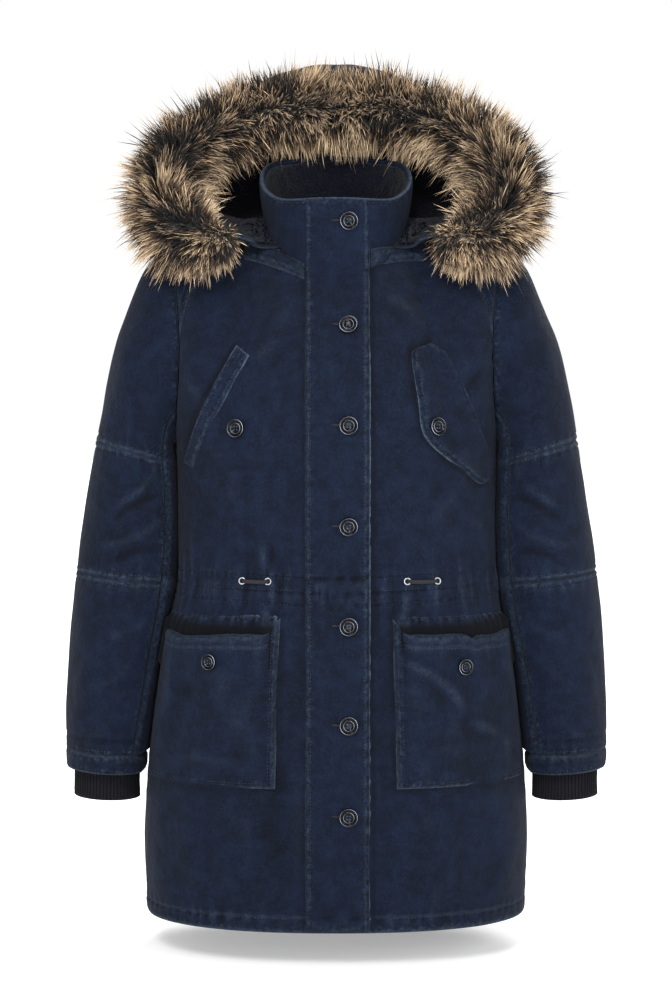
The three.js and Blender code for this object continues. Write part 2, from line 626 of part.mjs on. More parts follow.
function buttons() {
  const { x, z: heights } = PLACKET_BUTTONS;
  heights.forEach((z, i) => button(`placket_button_${i + 1}`, BUTTON, [x, z], pieces("placket")));
  button("chest_button_right", BUTTON, CHEST_BUTTONS.right, pieces("front_right"));
  button("chest_button_left", BUTTON, CHEST_BUTTONS.left, pieces("chest_flap_left"), 0.5);
  for (const [word, place] of Object.entries(POCKET_BUTTON_AT)) {
    button(`pocket_button_${word}`, POCKET_BUTTON, place, pieces(`patch_pocket_${word}`));
  }
}

function waistCords() {
  const { radius, hole, thickness } = EYELET;
  const profile = [[hole, 0], [radius, 0], [radius - 0.6, thickness], [hole + 0.5, thickness], [hole, 0]];
  for (const word of ["right", "left"]) {
    const on = pieces(`front_${word}`);
    EYELETS[word].forEach((x, i) =>
      seated(`waist_eyelet_${word}_${i + 1}`, NICKEL, profile, 12, [x, EYELETS.z], on),
    );
    waistCord(`waist_cord_${word}`, ...EYELETS[word], on);
  }
}

// Flat cord from one eyelet to the next: up out of the first, across the cloth and down into the second.
function waistCord(name, from, to, on) {
  const path = [0, 0.05, 0.13, 0.5, 0.87, 0.95, 1];
  const lift = [0.5, 2.7, 3.4, 3.6, 3.4, 2.7, 0.5];
  const layer = (out) =>
    path.map((t, i) => [-0.5, 0.5].map((w) => {
      const width = i === 0 || i === path.length - 1 ? CORD.width * 0.7 : CORD.width;
      const { point } = seen(on, lerp(from, to, t), EYELETS.z + w * width);
      return point.add(vec(0, -lift[i] - out, 0));
    }));
  add(name, BRAID, between(layer(CORD.thickness), layer(0)));
}

// --- Hood and fur -------------------------------------------------------------------------------------------------

const furValue = (key, s) => smooth(column(FUR_LINE, "s"), column(FUR_LINE, key), Math.abs(s));
const sided = (v, s) => vec(Math.sign(s || 1) * v.x, v.y, v.z);
const furCentre = (s) => sided(vec(furValue("x", s), furValue("y", s), furValue("z", s)), s);

function toHood(s) {
  const part = (i) => smooth(column(FUR_LINE, "s"), FUR_LINE.map((row) => row.toHood[i]), Math.abs(s));
  return sided(vec(part(0), part(1), part(2)).normalize(), s);
}

// Where the hood is zipped on: just outside the collar, from the nape (0) to its front end (1).
function hoodSeam(s, out, up) {
  const angle = (180 - HOOD_ANGLE * Math.abs(s)) * Math.sign(s || 1);
  const height = smooth(COLLAR_TOP.angle, COLLAR_TOP.z, Math.abs(angle)) - neck(angle).z;
  const p = collarPoint(angle, up / height);
  return p.add(vec(p.x, p.y, 0).normalize().multiplyScalar(out));
}

// Point of the hood: s runs along the fur line and t from the neck seam to the fur, on a cubic curve.
function hood(s, t) {
  const rib = (name, i) => smooth(column(HOOD_RIBS, "s"), HOOD_RIBS.map((row) => row[name][i]), Math.abs(s));
  const low = sided(vec(rib("low", 0), rib("low", 1), rib("low", 2)), s);
  const high = sided(vec(rib("high", 0), rib("high", 1), rib("high", 2)), s);
  const from = hoodSeam(s, ZIP.gap + ZIP.tape + 0.9, 6);
  const to = furCentre(s).addScaledVector(toHood(s), FUR_REACH + SEAM_GAP);
  return new THREE.CubicBezierCurve3(from, low, high, to).getPoint(t);
}

// The hood as one grid from side to side, lifted clear of the shoulders it lies on.
function hoodGrid() {
  const half = [...HOOD_COLUMNS.map((s) => -s).reverse(), 0, ...HOOD_COLUMNS];
  const grid = steps(0, 1, 10).map((t) => half.map((s) => hood(s, t)));
  const under = pieces("yoke_right", "yoke_left", "back", "front_right", "front_left");
  return laid(grid, under, 1.2, true);
}

function hoodPieces(grid) {
  const n = HOOD_COLUMNS.length;
  const piece = (name, from, to, turn) => cloth(name, TWILL, grid.map((row) => row.slice(from, to + 1)), turn);
  piece("hood_side_right", 0, n - 1, -1);
  piece("hood_centre", n - 1, n + 1, -1);
  piece("hood_side_left", n + 1, 2 * n, -1);
}

// Pile lining inside the hood: the hood's own points, moved in past its cloth.
function hoodLining(whole) {
  const normals = gridNormals(whole, -1, false);
  const layer = (out) =>
    whole.slice(1, -1).map((row, i) =>
      row.slice(1, -1).map((p, j) => p.clone().addScaledVector(normals[i + 1][j + 1], -out)),
    );
  const near = CLOTH + LIE_GAP * 0.7;
  add("hood_lining", PILE_BLACK, between(layer(near), layer(near + PILE)));
}

function hoodZip() {
  const columns = steps(-1, 1, 24);
  const layer = (out) => [ZIP.from, ZIP.to].map((up) => columns.map((s) => hoodSeam(s, out, up)));
  add("hood_zip", BRASS, between(layer(ZIP.gap + ZIP.tape), layer(ZIP.gap)));
}

// One length of the fur's reach: a closed tube on the fur line, pressed in where it lies on other pieces.
function fur(name, from, to, count, obstacles) {
  const sides = 10;
  const caster = new THREE.Raycaster();
  const frame = (s) => {
    const centre = furCentre(s);
    const ahead = furCentre(Math.min(1, s + 0.01)).sub(furCentre(Math.max(-1, s - 0.01))).normalize();
    const outward = centre.clone().sub(vec(0, 0, 60)).cross(ahead).normalize();
    return { centre, outward, across: ahead.cross(outward) };
  };
  const way = ({ outward, across }, a) =>
    outward.clone().multiplyScalar(Math.cos(a)).addScaledVector(across, Math.sin(a));
  const clear = (at, a) => {
    caster.set(at.centre, way(at, a));
    caster.far = FUR_REACH + 8;
    const hit = caster.intersectObjects(obstacles)[0];
    return hit ? hit.distance : Infinity;
  };
  const rings = steps(from, to, count).map((s) => {
    const at = frame(s);
    const end = Math.min(1, 0.55 + (1 - Math.abs(s)) * 8);
    return steps(0, 2 * Math.PI, sides).slice(0, -1).map((a) => {
      let reach = FUR_REACH * end;
      for (const ds of [-0.04, -0.02, 0, 0.02, 0.04]) {
        const near = frame(THREE.MathUtils.clamp(s + ds, -1, 1));
        for (const da of [-0.35, -0.17, 0, 0.17, 0.35]) reach = Math.min(reach, clear(near, a + da) - 4.2);
      }
      return at.centre.clone().addScaledVector(way(at, a), reach);
    });
  });
  add(name, FUR, capped(rings));
}

// Closed solid of a row of rings: its sides and a fan over each end.
function capped(rings) {
  const sides = rings[0].length;
  const middle = (ring) => ring.reduce((sum, p) => sum.add(p), vec(0, 0, 0)).divideScalar(sides);
  const points = [...rings.flat(), middle(rings[0]), middle(rings.at(-1))].flatMap((p) => [p.x, p.y, p.z]);
  const faces = [];
  const last = (rings.length - 1) * sides;
  for (let j = 0; j < sides; j++) {
    const next = (j + 1) % sides;
    for (let i = 0; i < last; i += sides) faces.push(i + j, i + next, i + sides + next, i + j, i + sides + next, i + sides + j);
    faces.push(rings.length * sides, next, j, rings.length * sides + 1, last + j, last + next);
  }
  return facingOut(points, faces);
}

// --- Assembly -----------------------------------------------------------------------------------------------------

front("front_right", -1, [COLUMN.frontEdge]);
front("front_left", 1, [-COLUMN.frontEdge, COLUMN.frontEdge]);
yoke("yoke_right", -1);
yoke("yoke_left", 1);
back();
sleeves("right", -1);
sleeves("left", 1);
collar();
sewUp();
collarLining();
placket();
patchPocket("patch_pocket_right", -1);
patchPocket("patch_pocket_left", 1);
pocketFlap("pocket_flap_right", -1);
pocketFlap("pocket_flap_left", 1);
welt();
chestFlap();
buttons();
waistCords();
hoodZip();
const wholeHood = hoodGrid();
hoodPieces(wholeHood);
sewUp();
hoodLining(wholeHood);
const underFur = parka.children.slice();
fur("fur_trim_right", -1, -0.5, 8, underFur);
fur("fur_trim_top", -0.497, 0.497, 10, underFur);
fur("fur_trim_left", 0.5, 1, 8, underFur);

export default parka;
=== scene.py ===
"""A hooded, fur-trimmed parka in washed cotton twill, buttoned up and filled out as on a wearer's shoulders.

Shapes are worked out in millimetres, in the part's frame: +Z is up, the front faces -Y and +X is the
wearer's left. Every cloth piece is a surface of two parameters. Its base is the coat's plain form, and its
relief is the creases, seam grooves and puckers that stand on the base along its normal.
"""

import json
import math

import bpy
import numpy as np
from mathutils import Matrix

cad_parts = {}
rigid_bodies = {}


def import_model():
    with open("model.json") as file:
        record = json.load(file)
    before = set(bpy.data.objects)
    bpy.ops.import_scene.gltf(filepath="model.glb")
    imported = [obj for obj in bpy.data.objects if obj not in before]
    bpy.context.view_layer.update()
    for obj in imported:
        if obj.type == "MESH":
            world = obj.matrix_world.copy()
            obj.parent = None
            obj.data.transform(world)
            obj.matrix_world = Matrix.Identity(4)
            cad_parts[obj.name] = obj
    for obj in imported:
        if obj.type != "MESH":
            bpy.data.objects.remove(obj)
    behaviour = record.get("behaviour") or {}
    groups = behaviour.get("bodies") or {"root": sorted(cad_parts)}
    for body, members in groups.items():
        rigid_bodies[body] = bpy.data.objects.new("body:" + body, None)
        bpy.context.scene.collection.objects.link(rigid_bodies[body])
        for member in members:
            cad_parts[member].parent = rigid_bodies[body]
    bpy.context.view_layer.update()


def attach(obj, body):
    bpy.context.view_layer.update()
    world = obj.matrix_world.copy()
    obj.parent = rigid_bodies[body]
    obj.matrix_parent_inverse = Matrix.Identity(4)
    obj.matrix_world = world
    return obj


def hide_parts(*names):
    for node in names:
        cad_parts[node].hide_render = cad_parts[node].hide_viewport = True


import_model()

bl_info = {
    "name": "Fur-Trimmed Parka",
    "version": (1, 0, 0),
    "blender": (4, 5, 0),
    "location": "View3D > Sidebar > Parka",
    "description": "Builds a hooded parka in washed cotton twill with a fur trim",
    "category": "Object",
}

MM = 0.001

# --- The coat's form, in millimetres ---

CLOTH = 3.0
COLLAR_CLOTH = 5.0
HEM_Z, ARMPIT_Z = -808.0, -222.0
NECK = {"half_width": 84, "front": 88, "back": 72, "front_z": -22, "side_z": 46, "nape_z": 60}
COLLAR = {"half_width": 95, "front": 100, "back": 84, "swell": 3}
SHOULDER_TIP = {"x": 203, "z": 14}
ARMHOLE = {"low_x": 199, "half_depth": 78, "dip": 11}
CHEST_FULL, BACK_FULL = (0, -143, -112), (0, 148, -60)
FRONT_EDGE, YOKE_START, NECK_SIDE = 0.04, 0.36, 0.42
HOOD_TO_FUR = 32.0  # from the middle of the fur to the hood's edge
ZIP_STAND = 3.7  # from the collar to the hood's edge
ZIP_SPAN, ZIP_TEETH = (3.0, 12.0), 700  # heights above the neck seam, and count
HOOD_ANGLE = 128.0
HOOD_STRIP = 0.13


def table(columns, *rows):
    """Rows of numbers as a dict of arrays, one for each named column."""
    return dict(zip(columns.split(), np.array(rows, float).T))


BODY = table(
    "z half_width front back square",
    (-808, 237, 146, 142, 2.3),
    (-720, 240, 148, 147, 2.3),
    (-630, 236, 147, 151, 2.3),
    (-545, 227, 144, 149, 2.3),
    (-470, 216, 139, 138, 2.35),
    (-400, 200, 134, 122, 2.4),
    (-350, 197, 136, 120, 2.4),
    (-285, 197, 142, 126, 2.4),
    (-222, 199, 144, 133, 2.4),
)
SLEEVE = table(
    "ring outer_x outer_z inner_x inner_z front back dip",
    (0, 203, 14, 199, -222, 78, 78, 11),
    (1, 232, -5, 202, -232, 81, 82, 6),
    (2, 256, -55, 201, -239, 83, 85, 2),
    (3, 280, -120, 199, -245, 83, 85, 0),
    (4, 300, -222, 196, -252, 80, 82, 0),
    (5, 313, -305, 192, -324, 76, 78, 0),
    (6, 325, -384, 196, -400, 72, 74, 0),
    (7, 333, -472, 212, -483, 68, 68, 0),
    (8, 338, -548, 226, -556, 64, 63, 0),
    (9, 339, -606, 236, -613, 60, 59, 0),
    (10, 338, -629, 237, -637, 59, 58, 0),
)
SLEEVE_TO_BODY = 4.0
ELBOW_TOP, ELBOW_BOTTOM, BAND_TOP, SLEEVE_HEM = 4, 6, 9, 10
UNDER_FROM, UNDER_TO = 135.0, 225.0
UNDER_STITCH = 4.3  # degrees from the under-sleeve's seams to their stitching
CUFF = table("z half_width half_depth", (-667, 37, 43), (-645, 36.5, 42), (-622, 38, 44), (-606, 45.5, 54))
CUFF_CENTRE, CUFF_SLOPE, CUFF_RIBS = 287.5, 0.06, 58
YOKE_SEAM = table("share rise", (0, 1), (0.2, 0.84), (0.4, 0.79), (0.6, 0.76), (0.8, 0.66), (1, 0.5))
COLLAR_TOP = table("angle z", (0, 68), (45, 70), (70, 86), (90, 106), (120, 128), (180, 142))
FUR_LINE = table(
    "s x y z to_x to_y to_z",
    (0, 0, 66, 197, 0, 0.75, 0.66),
    (0.2, 72, 62, 198, 0.15, 0.82, 0.52),
    (0.38, 143, 47, 172, 0.2, 0.9, 0.35),
    (0.55, 194, 16, 132, 0.05, 0.95, 0.2),
    (0.68, 212, -24, 84, -0.45, 0.85, 0.2),
    (0.8, 198, -66, 44, -0.75, 0.6, 0.25),
    (0.9, 165, -92, 22, -0.8, 0.55, 0.2),
    (1, 128, -103, 16, -0.85, 0.5, 0),
)
HOOD_RIBS = table(
    "s low_x low_y low_z high_x high_y high_z",
    (0, 0, 215, -50, 0, 222, 416),
    (0.09, 35, 213, -48, 42, 220, 414),
    (0.25, 95, 195, -30, 112, 203, 357),
    (0.5, 150, 130, 5, 215, 150, 190),
    (0.75, 140, 30, 38, 180, 15, 75),
    (1, 92, -58, 8, 97, -68, 10),
)
PLACKET_LEFT, PLACKET_RIGHT, PLACKET_TOP = -37.0, 41.0, 68.0
PLACKET_STITCH = (PLACKET_LEFT + 7, PLACKET_RIGHT - 8)
PLACKET_BUTTON_X = 15.0
PLACKET_BUTTON_Z = (40, -86, -205, -324, -443, -560, -668)
POCKET_INNER, POCKET_OUTER, POCKET_TOP, POCKET_BOTTOM = 0.165, 0.84, -449.0, -636.0
POCKET_PUFF = 14.0
POCKET_HEM = (16, 20)  # a lower pocket's rows of stitching, down from its top edge
POCKET_INSET = 0.024  # and in from its sides, as a share of the front
FLAP_TOP, FLAP_BOTTOM = -430.0, -500.0
POCKET_BUTTON = {"right": (-150, -486), "left": (153, -492)}
WELT = table(
    "outer_x outer_z inner_x inner_z",
    (-119, -108, -104, -121),
    (-139, -141, -121, -154),
    (-157, -175, -138, -186),
    (-173, -212, -155, -220),
    (-185, -252, -171, -257),
)
CHEST_FLAP = table(
    "hinge_x hinge_z edge_x edge_z",
    (131, -115, 114, -104),
    (140, -131, 90, -115),
    (149, -149, 88, -128),
    (158, -167, 95, -172),
    (167, -187, 104, -217),
    (176, -208, 136, -248),
    (184, -230, 172, -276),
    (189, -246, 187, -262),
)
CHEST_BUTTON = {"right": (-118, -208), "left": (119, -206)}
EYELET_X = {"right": (-112, -81), "left": (85, 121)}
EYELET_Z = -390.0

# Heights of the waist casing's three rows of stitching at the side seam, and of the hem's row.
CASING_ROWS = (-379, -396, -409)
HEM_STITCH = -791.0

SIDES = (("right", -1), ("left", 1))  # of the wearer, with the sign of x
SEEDS = {"front_right": 11, "front_left": 12}

# Rough lengths along the cloth, by which parameters become millimetres for seams and puckers.
BODY_RISE = ARMPIT_Z - HEM_Z
SHOULDER_RISE = SHOULDER_TIP["z"] - ARMPIT_Z
FRONT_WIDTH, SIDE_WIDTH, YOKE_SEAM_DROP = 310, 300, 190
BACK_WIDTH, BACK_RISE = 320, 270
YOKE_WIDTH, YOKE_LENGTH = 125, 60
RING_RUN, BAND_RUN = 82, 24
COLLAR_HEIGHT = 90
POCKET_WIDTH, POCKET_HEIGHT = 165, POCKET_TOP - POCKET_BOTTOM
HOOD_ROUND, HOOD_LENGTH = 420, 300


def smooth(xs, ys, x):
    """Value at x of the smooth curve through (xs, ys): cubic pieces whose end slopes run between the
    neighbours."""
    x = np.asarray(x, float)
    last = len(xs) - 1
    i = np.clip(np.searchsorted(xs, x, "left") - 1, 0, last - 1)
    before, after = np.clip(np.arange(last + 1) - 1, 0, last), np.clip(np.arange(last + 1) + 1, 0, last)
    slope = (ys[after] - ys[before]) / (xs[after] - xs[before])
    width = xs[i + 1] - xs[i]
    t = (x - xs[i]) / width
    return (
        ys[i] * (2 * t**3 - 3 * t**2 + 1)
        + slope[i] * width * (t**3 - 2 * t**2 + t)
        + ys[i + 1] * (3 * t**2 - 2 * t**3)
        + slope[i + 1] * width * (t**3 - t**2)
    )


def along(rows, by, key, x):
    """Value of a table's column at x of another of its columns."""
    return smooth(rows[by], rows[key], x)


def stack(*parts):
    """Arrays of x, y and z as one array of points."""
    return np.stack(np.broadcast_arrays(*parts), -1).astype(float)


def mix(a, b, t):
    """a at t 0 and b at t 1."""
    return a + (b - a) * t


def unit(vectors):
    """Vectors made a unit long."""
    return vectors / np.maximum(np.linalg.norm(vectors, axis=-1, keepdims=True), 1e-9)


def sign(x):
    """-1 below 0 and 1 from 0 up."""
    return np.sign(np.where(x == 0, 1, x))


def merged(*parts):
    """Values of several arrays in order, each once."""
    return np.unique(np.concatenate(parts))


def step(low, high, x):
    """0 below low, 1 above high and an even S between."""
    t = np.clip((x - low) / (high - low), 0, 1)
    return t * t * (3 - 2 * t)


def hump(x, width):
    """Bell of height 1 at x 0: e to the minus square of x over width."""
    return np.exp(-((x / width) ** 2))


# --- Surfaces ---


def neck(angle):
    """Neck seam at an angle from the centre front, 180 at the nape: half an ellipse before and half behind,
    whose height goes with the cosine."""
    a = np.radians(np.abs(angle))
    x = NECK["half_width"] * np.sin(a) * sign(angle)
    ahead = np.abs(angle) <= 90
    y = -np.where(ahead, NECK["front"], NECK["back"]) * np.cos(a)
    z = np.where(
        ahead,
        mix(NECK["side_z"], NECK["front_z"], np.cos(a)),
        mix(NECK["nape_z"], NECK["side_z"], np.sin(a)),
    )
    return stack(x, y, z)


def armhole(angle, facing):
    """Armhole at an angle from the shoulder tip, 180 at the armpit: an ellipse dished towards the body."""
    a = np.radians(angle)
    mid_x, mid_z = (SHOULDER_TIP["x"] + ARMHOLE["low_x"]) / 2, (SHOULDER_TIP["z"] + ARMPIT_Z) / 2
    return stack(
        mid_x + (SHOULDER_TIP["x"] - mid_x) * np.cos(a) - ARMHOLE["dip"] * np.sin(a) ** 2,
        facing * ARMHOLE["half_depth"] * np.sin(a),
        mid_z + (SHOULDER_TIP["z"] - mid_z) * np.cos(a),
    )


def section(share, z, facing):
    """Body section at height z, a superellipse; share runs from the centre line (0) to the side seam (1)."""
    a = np.abs(share) * np.pi / 2
    power = 2 / along(BODY, "z", "square", z)
    depth = along(BODY, "z", "front" if facing < 0 else "back", z)
    side = sign(share)
    return stack(
        side * along(BODY, "z", "half_width", z) * np.sin(a) ** power,
        facing * depth * np.abs(np.cos(a)) ** power,
        z,
    )


def top_edge(share, facing):
    """Top of the front or back: the neck seam, then the straight shoulder seam."""
    turn = 90 * share / NECK_SIDE
    at_neck = neck(turn if facing < 0 else 180 - turn)
    t = ((share - NECK_SIDE) / (1 - NECK_SIDE))[..., None]
    shoulder = mix(neck(np.array(90.0)), armhole(0, facing), t)
    return np.where(share[..., None] <= NECK_SIDE, at_neck, shoulder)


def upper(share, rise, facing):
    """Upper front or back: the Coons patch between the section at the armpit, the top edge, the armhole and a
    centre line that is a parabola through a full chest or full shoulder blades."""
    s = np.abs(share)
    zero, one = np.zeros_like(s), np.ones_like(s)
    low, high = section(zero, zero + ARMPIT_Z, facing), top_edge(zero, facing)
    full = np.array(CHEST_FULL if facing < 0 else BACK_FULL, float)
    r, k = rise[..., None], s[..., None]
    centre = mix(mix(low, full, r), mix(full, high, r), r)
    point = mix(section(s, zero + ARMPIT_Z, facing), top_edge(s, facing), r)
    point = point + (1 - k) * centre + k * armhole(180 * (1 - rise), facing)
    side_low, side_high = section(one, zero + ARMPIT_Z, facing), top_edge(one, facing)
    point = point - (1 - k) * mix(low, high, r) - k * mix(side_low, side_high, r)
    point[..., 0] *= np.where(share < 0, -1, 1)
    return point


def body(share, height, facing):
    """Body's surface: height runs from the hem (0) by way of the armpit's level (1) to the top edge (2)."""
    share, height = np.broadcast_arrays(np.asarray(share, float), np.asarray(height, float))
    low = section(share, mix(HEM_Z, ARMPIT_Z, np.minimum(height, 1)), facing)
    high = upper(share, np.clip(height - 1, 0, 1), facing)
    return np.where((height <= 1)[..., None], low, high)


def front_height(z):
    """Height parameter of the front at a z below the armpit."""
    return (z - HEM_Z) / BODY_RISE


def sleeve(ring, angle, side):
    """Sleeve's surface: rings that are ellipses between an outer and an inner end, kept off the body below
    the armpit. The angle runs from the outer side by way of the front."""
    ring, angle = np.broadcast_arrays(np.asarray(ring, float), np.asarray(angle, float))
    value = {key: along(SLEEVE, "ring", key, ring) for key in SLEEVE if key != "ring"}
    a = np.radians(angle)
    depth = np.where(np.sin(a) > 0, value["front"], value["back"])
    x = (value["outer_x"] + value["inner_x"]) / 2 + (value["outer_x"] - value["inner_x"]) * np.cos(a) / 2
    z = (value["outer_z"] + value["inner_z"]) / 2 + (value["outer_z"] - value["inner_z"]) * np.cos(a) / 2
    x = x - value["dip"] * np.sin(a) ** 2
    y = -depth * np.sin(a)
    low = np.minimum(z, ARMPIT_Z)
    reach = along(BODY, "z", "front", low) * (y < 0) + along(BODY, "z", "back", low) * (y >= 0)
    square = along(BODY, "z", "square", low)
    wide = along(BODY, "z", "half_width", low) * np.maximum(
        0, 1 - (np.abs(y) / reach) ** square
    ) ** (1 / square)
    keep = np.where((z <= ARMPIT_Z - 1) & (ring > 0), wide + SLEEVE_TO_BODY, 0)
    soft = 5.0
    x = np.where(keep > 0, soft * np.logaddexp(x / soft, keep / soft), x)
    return stack(side * x, y, z)


def cuff(height, angle, side):
    """Knitted cuff's surface: ellipses that narrow below the sleeve's hem."""
    a = np.radians(angle)
    x = along(CUFF, "z", "half_width", height) * np.cos(a)
    return stack(
        side * (CUFF_CENTRE + x), -along(CUFF, "z", "half_depth", height) * np.sin(a),
        height + CUFF_SLOPE * x,
    )


def collar(angle, share):
    """Collar's surface: straight lines from the neck seam to its wider top edge, swelled at mid height."""
    angle, share = np.broadcast_arrays(np.asarray(angle, float), np.asarray(share, float))
    a = np.abs(angle)
    depth = np.where(a <= 90, COLLAR["front"], COLLAR["back"])
    side = sign(angle)
    top = stack(
        COLLAR["half_width"] * np.sin(np.radians(a)) * side,
        -depth * np.cos(np.radians(a)),
        along(COLLAR_TOP, "angle", "z", a),
    )
    point = mix(neck(angle), top, share[..., None])
    return point + unit(point * (1, 1, 0)) * (4 * COLLAR["swell"] * share * (1 - share))[..., None]


def fur_point(s):
    """Middle of the fur at s, from the top of the hood (0) to a front end (1, or -1 on the wearer's
    right)."""
    side = sign(s)
    a = np.abs(s)
    return stack(
        side * along(FUR_LINE, "s", "x", a), along(FUR_LINE, "s", "y", a), along(FUR_LINE, "s", "z", a)
    )


def hood_seam(s, out, up):
    """Where the hood is zipped on, just outside the collar, moved out and up."""
    angle = (180 - HOOD_ANGLE * np.abs(s)) * sign(s)
    height = along(COLLAR_TOP, "angle", "z", np.abs(angle)) - neck(angle)[..., 2]
    p = collar(angle, up / height)
    return p + unit(p * (1, 1, 0)) * out


def hood(s, t):
    """Hood's surface: a cubic Bezier curve at each s, from the neck seam (t 0) to the fur (t 1)."""
    s, t = np.broadcast_arrays(np.asarray(s, float), np.asarray(t, float))
    a = np.abs(s)
    side = sign(s)
    low, high, to = (
        stack(*(along(rows, "s", f"{name}_{axis}", a) * (side if axis == "x" else 1) for axis in "xyz"))
        for rows, name in ((HOOD_RIBS, "low"), (HOOD_RIBS, "high"), (FUR_LINE, "to"))
    )
    to = fur_point(s) + unit(to) * HOOD_TO_FUR
    start = hood_seam(s, ZIP_STAND, 6.0)
    k = t[..., None]
    return (1 - k) ** 3 * start + 3 * (1 - k) ** 2 * k * low + 3 * (1 - k) * k**2 * high + k**3 * to


def normals(surface, u, v, turn=1):
    """Unit normals of a surface on a grid, from its differences either way along u and v, kept inside the
    grid."""
    du, dv = (u.max() - u.min()) * 1e-3, (v.max() - v.min()) * 1e-3
    across = surface(np.minimum(u + du, u.max()), v) - surface(np.maximum(u - du, u.min()), v)
    up = surface(u, np.minimum(v + dv, v.max())) - surface(u, np.maximum(v - dv, v.min()))
    return unit(np.cross(across, up) * turn)


# --- Relief ---


def noise(points, size, seed=0):
    """Smooth seeded noise from -1 to 1 at points: values at the corners of cubes of a size, eased between
    them."""
    p = np.asarray(points, float) / size
    cell = np.floor(p).astype(np.int64)
    f = p - cell
    f = f * f * (3 - 2 * f)
    ease = (1 - f, f)
    total = 0.0
    for i, j, k in np.ndindex(2, 2, 2):
        h = (
            (cell[..., 0] + i) * 73856093
        ) ^ ((cell[..., 1] + j) * 19349663) ^ ((cell[..., 2] + k) * 83492791) ^ (seed * 2654435761)
        h = (h ^ (h >> 13)) * 1274126177 & 0x7FFFFFFF
        value = ((h ^ (h >> 16)) & 0xFFFF) / 32767.5 - 1
        total = total + value * ease[i][..., 0] * ease[j][..., 1] * ease[k][..., 2]
    return total


def unevenness(p, seed=0):
    """General unevenness of hanging cloth: noise at three sizes, longer up and down than across."""
    q = p * (1, 1, 0.55)
    return 3.6 * noise(q, 95, seed) + 1.9 * noise(q, 42, seed + 1) + 0.7 * noise(q, 17, seed + 2)


def folds(across, up, rows):
    """Sum of folds laid along short lines: each is a bell across its line that fades towards the line's
    ends."""
    total = 0.0
    for x0, z0, x1, z1, width, lift in rows:
        dx, dz = x1 - x0, z1 - z0
        length = math.hypot(dx, dz)
        t = ((across - x0) * dx + (up - z0) * dz) / length**2
        d = ((across - x0) * dz - (up - z0) * dx) / length
        bend = d + 0.08 * length * np.sin(np.pi * np.clip(t, 0, 1)) * np.sign(lift)
        total = total + 1.1 * lift * hump(bend, width) * step(-0.25, 0.25, t) * (1 - step(0.75, 1.25, t))
    return total


def puckers(s, d, depth=0.8, reach=9.0, wave=13.0, seed=0):
    """Puckers along a stitched seam: waves along it of uneven length and height that fade with the distance
    d."""
    p = stack(s, 0 * s, 0 * s + 1)
    warped = s + 7 * noise(p, 24, seed)
    swell = 0.6 + 0.4 * noise(p, 55, seed + 5)
    return 1.3 * depth * swell * np.sin(2 * np.pi * warped / wave) * np.exp(-np.abs(d) / (0.7 * reach))


def groove(d, depth=1.0, width=1.6):
    """Line pulled in by stitches."""
    return -1.5 * depth * hump(d, width)


# Folds seen from ahead on the fronts: ends, half width and lift, the last negative where it is a hollow.
FRONT_FOLDS = (
    (-90, -345, -86, -455, 8, 2.6),
    (-76, -350, -74, -440, 6, -1.8),
    (82, -400, 72, -450, 7, 2.4),
    (-150, -225, -120, -300, 14, 2.2),
    (150, -240, 118, -320, 15, 2.4),
    (-176, -150, -150, -215, 11, 1.8),
    (172, -140, 150, -190, 9, -1.6),
    (-60, -60, -95, -130, 13, 2.0),
    (66, -50, 104, -96, 12, 1.8),
    (-170, -300, -185, -390, 13, 2.2),
    (160, -310, 178, -385, 12, 2.0),
    (-120, -650, -135, -770, 22, 3.0),
    (110, -660, 128, -775, 24, 3.2),
    (-60, -600, -66, -740, 20, -2.2),
    (66, -480, 58, -640, 18, -2.0),
    (190, -640, 200, -780, 18, 2.4),
    (-196, -650, -190, -770, 16, -2.0),
)
# The same on the back, with x towards the wearer's left.
BACK_FOLDS = (
    (-150, -120, -110, -250, 16, 3.0),
    (148, -110, 104, -240, 15, 2.8),
    (-176, -210, -120, -290, 12, 2.4),
    (172, -205, 128, -270, 13, -2.0),
    (-70, -300, -84, -385, 14, 2.6),
    (52, -290, 60, -380, 12, 2.2),
    (-120, -420, -140, -600, 22, 4.2),
    (-48, -430, -56, -560, 16, -3.2),
    (28, -425, 24, -620, 19, 3.8),
    (92, -430, 104, -560, 17, -3.4),
    (140, -425, 160, -640, 20, 4.0),
    (-10, -640, -20, -790, 24, -2.6),
    (-170, -640, -176, -790, 22, 2.8),
    (110, -660, 118, -800, 22, 2.6),
)


def sag(share, z):
    """How far the waist casing's rows lie below their height at the side seam, most at the placket."""
    x = np.abs(section(share, z, -1)[..., 0])
    lean = np.clip(1 - x / 200, 0, 1)
    return lean * np.interp(z, (-560, CASING_ROWS[2], CASING_ROWS[1], CASING_ROWS[0], -300), (0, 12, 6, 9, 0))


def casing(x, z, s, seed):
    """Waist casing: three pulled-in rows of stitching, with gathers that run over and a little past them."""
    middle = CASING_ROWS[1]
    total = 0.9 * hump(z - middle, 15)
    for i, row in enumerate(CASING_ROWS):
        total = total + groove(z - row, 0.8, 1.4) + puckers(s, z - row, 0.9, 5, 11, seed + i)
    p = stack(s, 0 * s, 0.06 * (z - middle))
    gathers = 1.6 * noise(p, 12, seed + 9) + 2.0 * noise(p, 28, seed + 10)
    return total + gathers * np.exp(-np.abs(z - middle) / 34)


